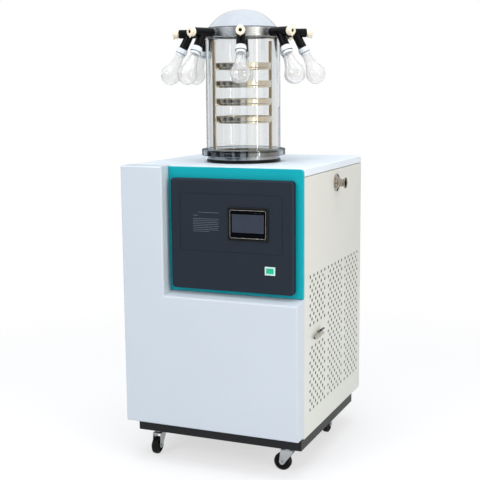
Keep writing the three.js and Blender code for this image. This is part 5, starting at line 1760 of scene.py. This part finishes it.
# ---------------------------------------------------------------- the studio
@dataclass
class Studio:
    """The pale floor, the soft lamps, the room's shapes that steel mirrors, and the camera."""

    camera_at: tuple[float, float, float] = (1.3932, -3.3832, 1.33815)
    azimuth: float = math.radians(23.1)
    tilt: float = math.radians(8.81)
    roll: float = math.radians(-0.53)
    lens_mm: float = 74.6
    sensor_mm: float = 36.0
    card_reach: float = 3.0
    ceiling: float = 3.6
    sky: float = 0.6
    floor_glow: float = 0.62

    def build(self) -> None:
        """Sets up the view, the surroundings, the lamps and the camera."""
        bpy.context.scene.view_settings.view_transform = "Standard"
        self.surroundings()
        self.floor()
        self.lamps()
        self.cards()
        self.camera()

    def seen(self, tree: bpy.types.NodeTree) -> bpy.types.NodeSocket:
        """Says whether a ray comes from the camera, from a mirror or through glass.

        Args:
            tree: the node tree to add to.

        Returns:
            A socket that is 1 for such a ray.
        """
        path = add_node(tree, "LightPath")
        mirror = add_node(tree, "Math", links={0: path.outputs["Is Camera Ray"],
                                               1: path.outputs["Is Glossy Ray"]}, operation="MAXIMUM")
        return add_node(tree, "Math", links={0: mirror.outputs[0],
                                             1: path.outputs["Is Transmission Ray"]},
                        operation="MAXIMUM").outputs[0]

    def surroundings(self) -> None:
        """Makes the world: white where it is seen, and a soft even light on the object."""
        world = bpy.data.worlds.new("studio")
        bpy.context.scene.world = world
        tree = emptied(world)
        light = add_node(tree, "Background", {"Color": (0.96, 0.98, 1.0, 1), "Strength": self.sky})
        shown = add_node(tree, "Background", {"Color": (1, 1, 1, 1), "Strength": 1.0})
        mix = add_node(tree, "MixShader", links={
            0: self.seen(tree), 1: light.outputs[0], 2: shown.outputs[0]})
        add_node(tree, "OutputWorld", links={"Surface": mix.outputs[0]})

    def floor(self) -> None:
        """Adds the floor, which is nearly white where it is seen but keeps the shadows."""
        floor = added("studio_floor", bpy.ops.mesh.primitive_plane_add, size=80, location=(0, 0, 0))
        material = bpy.data.materials.new("studio_floor")
        tree = emptied(material)
        lit = add_node(tree, "BsdfDiffuse", {"Color": (0.75, 0.76, 0.78, 1)})
        veil = add_node(tree, "BsdfDiffuse", {"Color": (0.36, 0.36, 0.37, 1)})
        glow = add_node(tree, "Emission", {"Color": (1, 1, 1, 1), "Strength": self.floor_glow})
        near = add_node(tree, "AddShader", links={0: veil.outputs[0], 1: glow.outputs[0]})
        reach = add_node(tree, "VectorMath", links={0: add_node(tree, "TexCoord").outputs["Object"]},
                         operation="LENGTH")
        fade = add_node(tree, "MapRange", {"From Min": 0.9, "From Max": 2.6},
                        {"Value": reach.outputs["Value"]}, interpolation_type="SMOOTHSTEP")
        white = add_node(tree, "Emission", {"Color": (1, 1, 1, 1), "Strength": 1.0})
        shown = add_node(tree, "MixShader", links={
            0: fade.outputs["Result"], 1: near.outputs[0], 2: white.outputs[0]})
        mix = add_node(tree, "MixShader", links={0: self.seen(tree), 1: lit.outputs[0], 2: shown.outputs[0]})
        add_node(tree, "OutputMaterial", links={"Surface": mix.outputs[0]})
        floor.data.materials.append(material)

    def lamp(self, name: str, place: Sequence[float], target: Sequence[float], size: tuple[float, float],
             power: float, colour: Sequence[float] = (1, 1, 1), mirrored: bool = True) -> None:
        """Adds an area lamp.

        Args:
            name: its name.
            place: where it stands.
            target: what it points at.
            size: its width and height.
            power: its power in watts.
            colour: its linear colour.
            mirrored: whether steel mirrors it.
        """
        way = Vector(target) - Vector(place)
        lamp = added(name, bpy.ops.object.light_add, type="AREA", location=place,
                     rotation=way.to_track_quat("-Z", "Y").to_euler())
        lamp.data.shape = "RECTANGLE"
        lamp.data.size, lamp.data.size_y = size
        lamp.data.energy = power
        lamp.data.color = colour
        lamp.visible_camera = False
        lamp.visible_glossy = mirrored

    def lamps(self) -> None:
        """Adds the overhead, the key and the warm window lamps."""
        middle = (0, 0, 0.9)
        self.lamp("overhead", (0.2, -0.4, 3.4), middle, (2.6, 2.6), 66, (0.9, 0.95, 1.0), mirrored=False)
        self.lamp("key", (-1.6, -3.6, 2.4), middle, (1.8, 1.8), 45, (0.97, 0.98, 1.0))
        for number, azimuth in enumerate((52, 66)):
            angle = math.radians(azimuth)
            place = (3.2 * math.sin(angle), -3.2 * math.cos(angle), 1.5)
            self.lamp(f"window_{number}", place, (0, 0, 1.3), (0.22, 2.4), 19, (1.0, 0.94, 0.85))

    def card(self, name: str, azimuth: float, width: float, span: tuple[float, float],
             tone: Sequence[float]) -> None:
        """Stands a card round the machine that only mirrors and the edges of glass see.

        Args:
            name: its name.
            azimuth: where it stands, in degrees from the front towards the right side.
            width: its width.
            span: the heights of its lower and upper edge.
            tone: its linear colour.
        """
        angle = math.radians(azimuth)
        low, high = span
        self.stand(name, Vector((self.card_reach * math.sin(angle), -self.card_reach * math.cos(angle),
                                 (low + high) / 2)), (math.pi / 2, 0, angle), (width, high - low), tone,
                   -110 < azimuth < 130)

    def ceiling_card(self, name: str, x: float, width: float, tone: float) -> None:
        """Hangs a grey card level above the machine, x across from its middle."""
        self.stand(name, Vector((x, 0, self.ceiling)), (0, 0, 0), (width, 2 * self.card_reach),
                   (tone, tone, tone), False)

    def stand(self, name: str, place: Vector, rotation: Sequence[float], size: tuple[float, float],
              tone: Sequence[float], through_glass: bool) -> None:
        """Adds a card that the camera and the lamps don't see.

        Args:
            name: its name.
            place: its middle.
            rotation: its turn about X, Y and Z.
            size: its width and height.
            tone: its linear colour.
            through_glass: whether light bent by glass shows it.
        """
        material = bpy.data.materials.new(name)
        tree = emptied(material)
        add_node(tree, "OutputMaterial", links={
            "Surface": add_node(tree, "Emission", {"Color": (*tone, 1)}).outputs[0]})
        card = added(name, bpy.ops.mesh.primitive_plane_add, size=1, location=place, rotation=rotation)
        card.scale = (*size, 1)
        card.data.materials.append(material)
        card.visible_camera = card.visible_diffuse = card.visible_shadow = False
        card.visible_transmission = through_glass

    def cards(self) -> None:
        """Stands the room's dark and pale shapes round the machine, which give steel its depth."""
        navy, dark, grey = (0.012, 0.018, 0.034), (0.02, 0.02, 0.022), (0.2, 0.2, 0.2)
        cream, sand, copper = (1.5, 1.36, 1.05), (1.15, 0.9, 0.65), (0.75, 0.45, 0.27)
        full = (0.02, 1.9)
        for number, (azimuth, width, span, tone) in enumerate((
                (-132, 1.7, full, dark), (-92, 1.8, full, navy), (-56, 1.3, full, navy),
                (-24, 1.5, full, navy), (4, 0.9, full, navy), (32, 0.35, full, dark), (48, 0.9, full, cream),
                (74, 0.8, full, cream), (92, 0.12, full, dark), (108, 1.2, full, sand),
                (136, 1.0, full, copper), (166, 1.0, (0.02, 1.2), dark), (204, 3.2, (0.02, 2.6), grey))):
            self.card(f"room_card_{number}", azimuth, width, span, tone)
        for number, (x, width, tone) in enumerate(((-2.0, 2.2, 0.92), (2.4, 1.4, 0.85))):
            self.ceiling_card(f"ceiling_card_{number}", x, width, tone)

    def camera(self) -> None:
        """Adds the camera."""
        a, e = self.azimuth, self.tilt
        ahead = Vector((-math.sin(a) * math.cos(e), math.cos(a) * math.cos(e), -math.sin(e)))
        turn = ahead.to_track_quat("-Z", "Y") @ Quaternion((0, 0, 1), self.roll)
        camera = added("camera", bpy.ops.object.camera_add, location=self.camera_at,
                       rotation=turn.to_euler())
        camera.data.lens, camera.data.sensor_width = self.lens_mm, self.sensor_mm
        camera.data.clip_end = 200
        bpy.context.scene.camera = camera


def main() -> None:
    """Builds the studio and every sub-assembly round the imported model."""
    logging.basicConfig(level=logging.INFO, format="%(message)s")
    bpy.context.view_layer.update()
    Studio().build()
    for assembly in (Cabinet(), ControlPanel(), SideFittings(), Casters(), DryingChamber(), ManifoldHead(),
                     Refrigeration()):
        log.info("building %s", type(assembly).__name__)
        assembly.build()


if __name__ == "__main__":
    main()
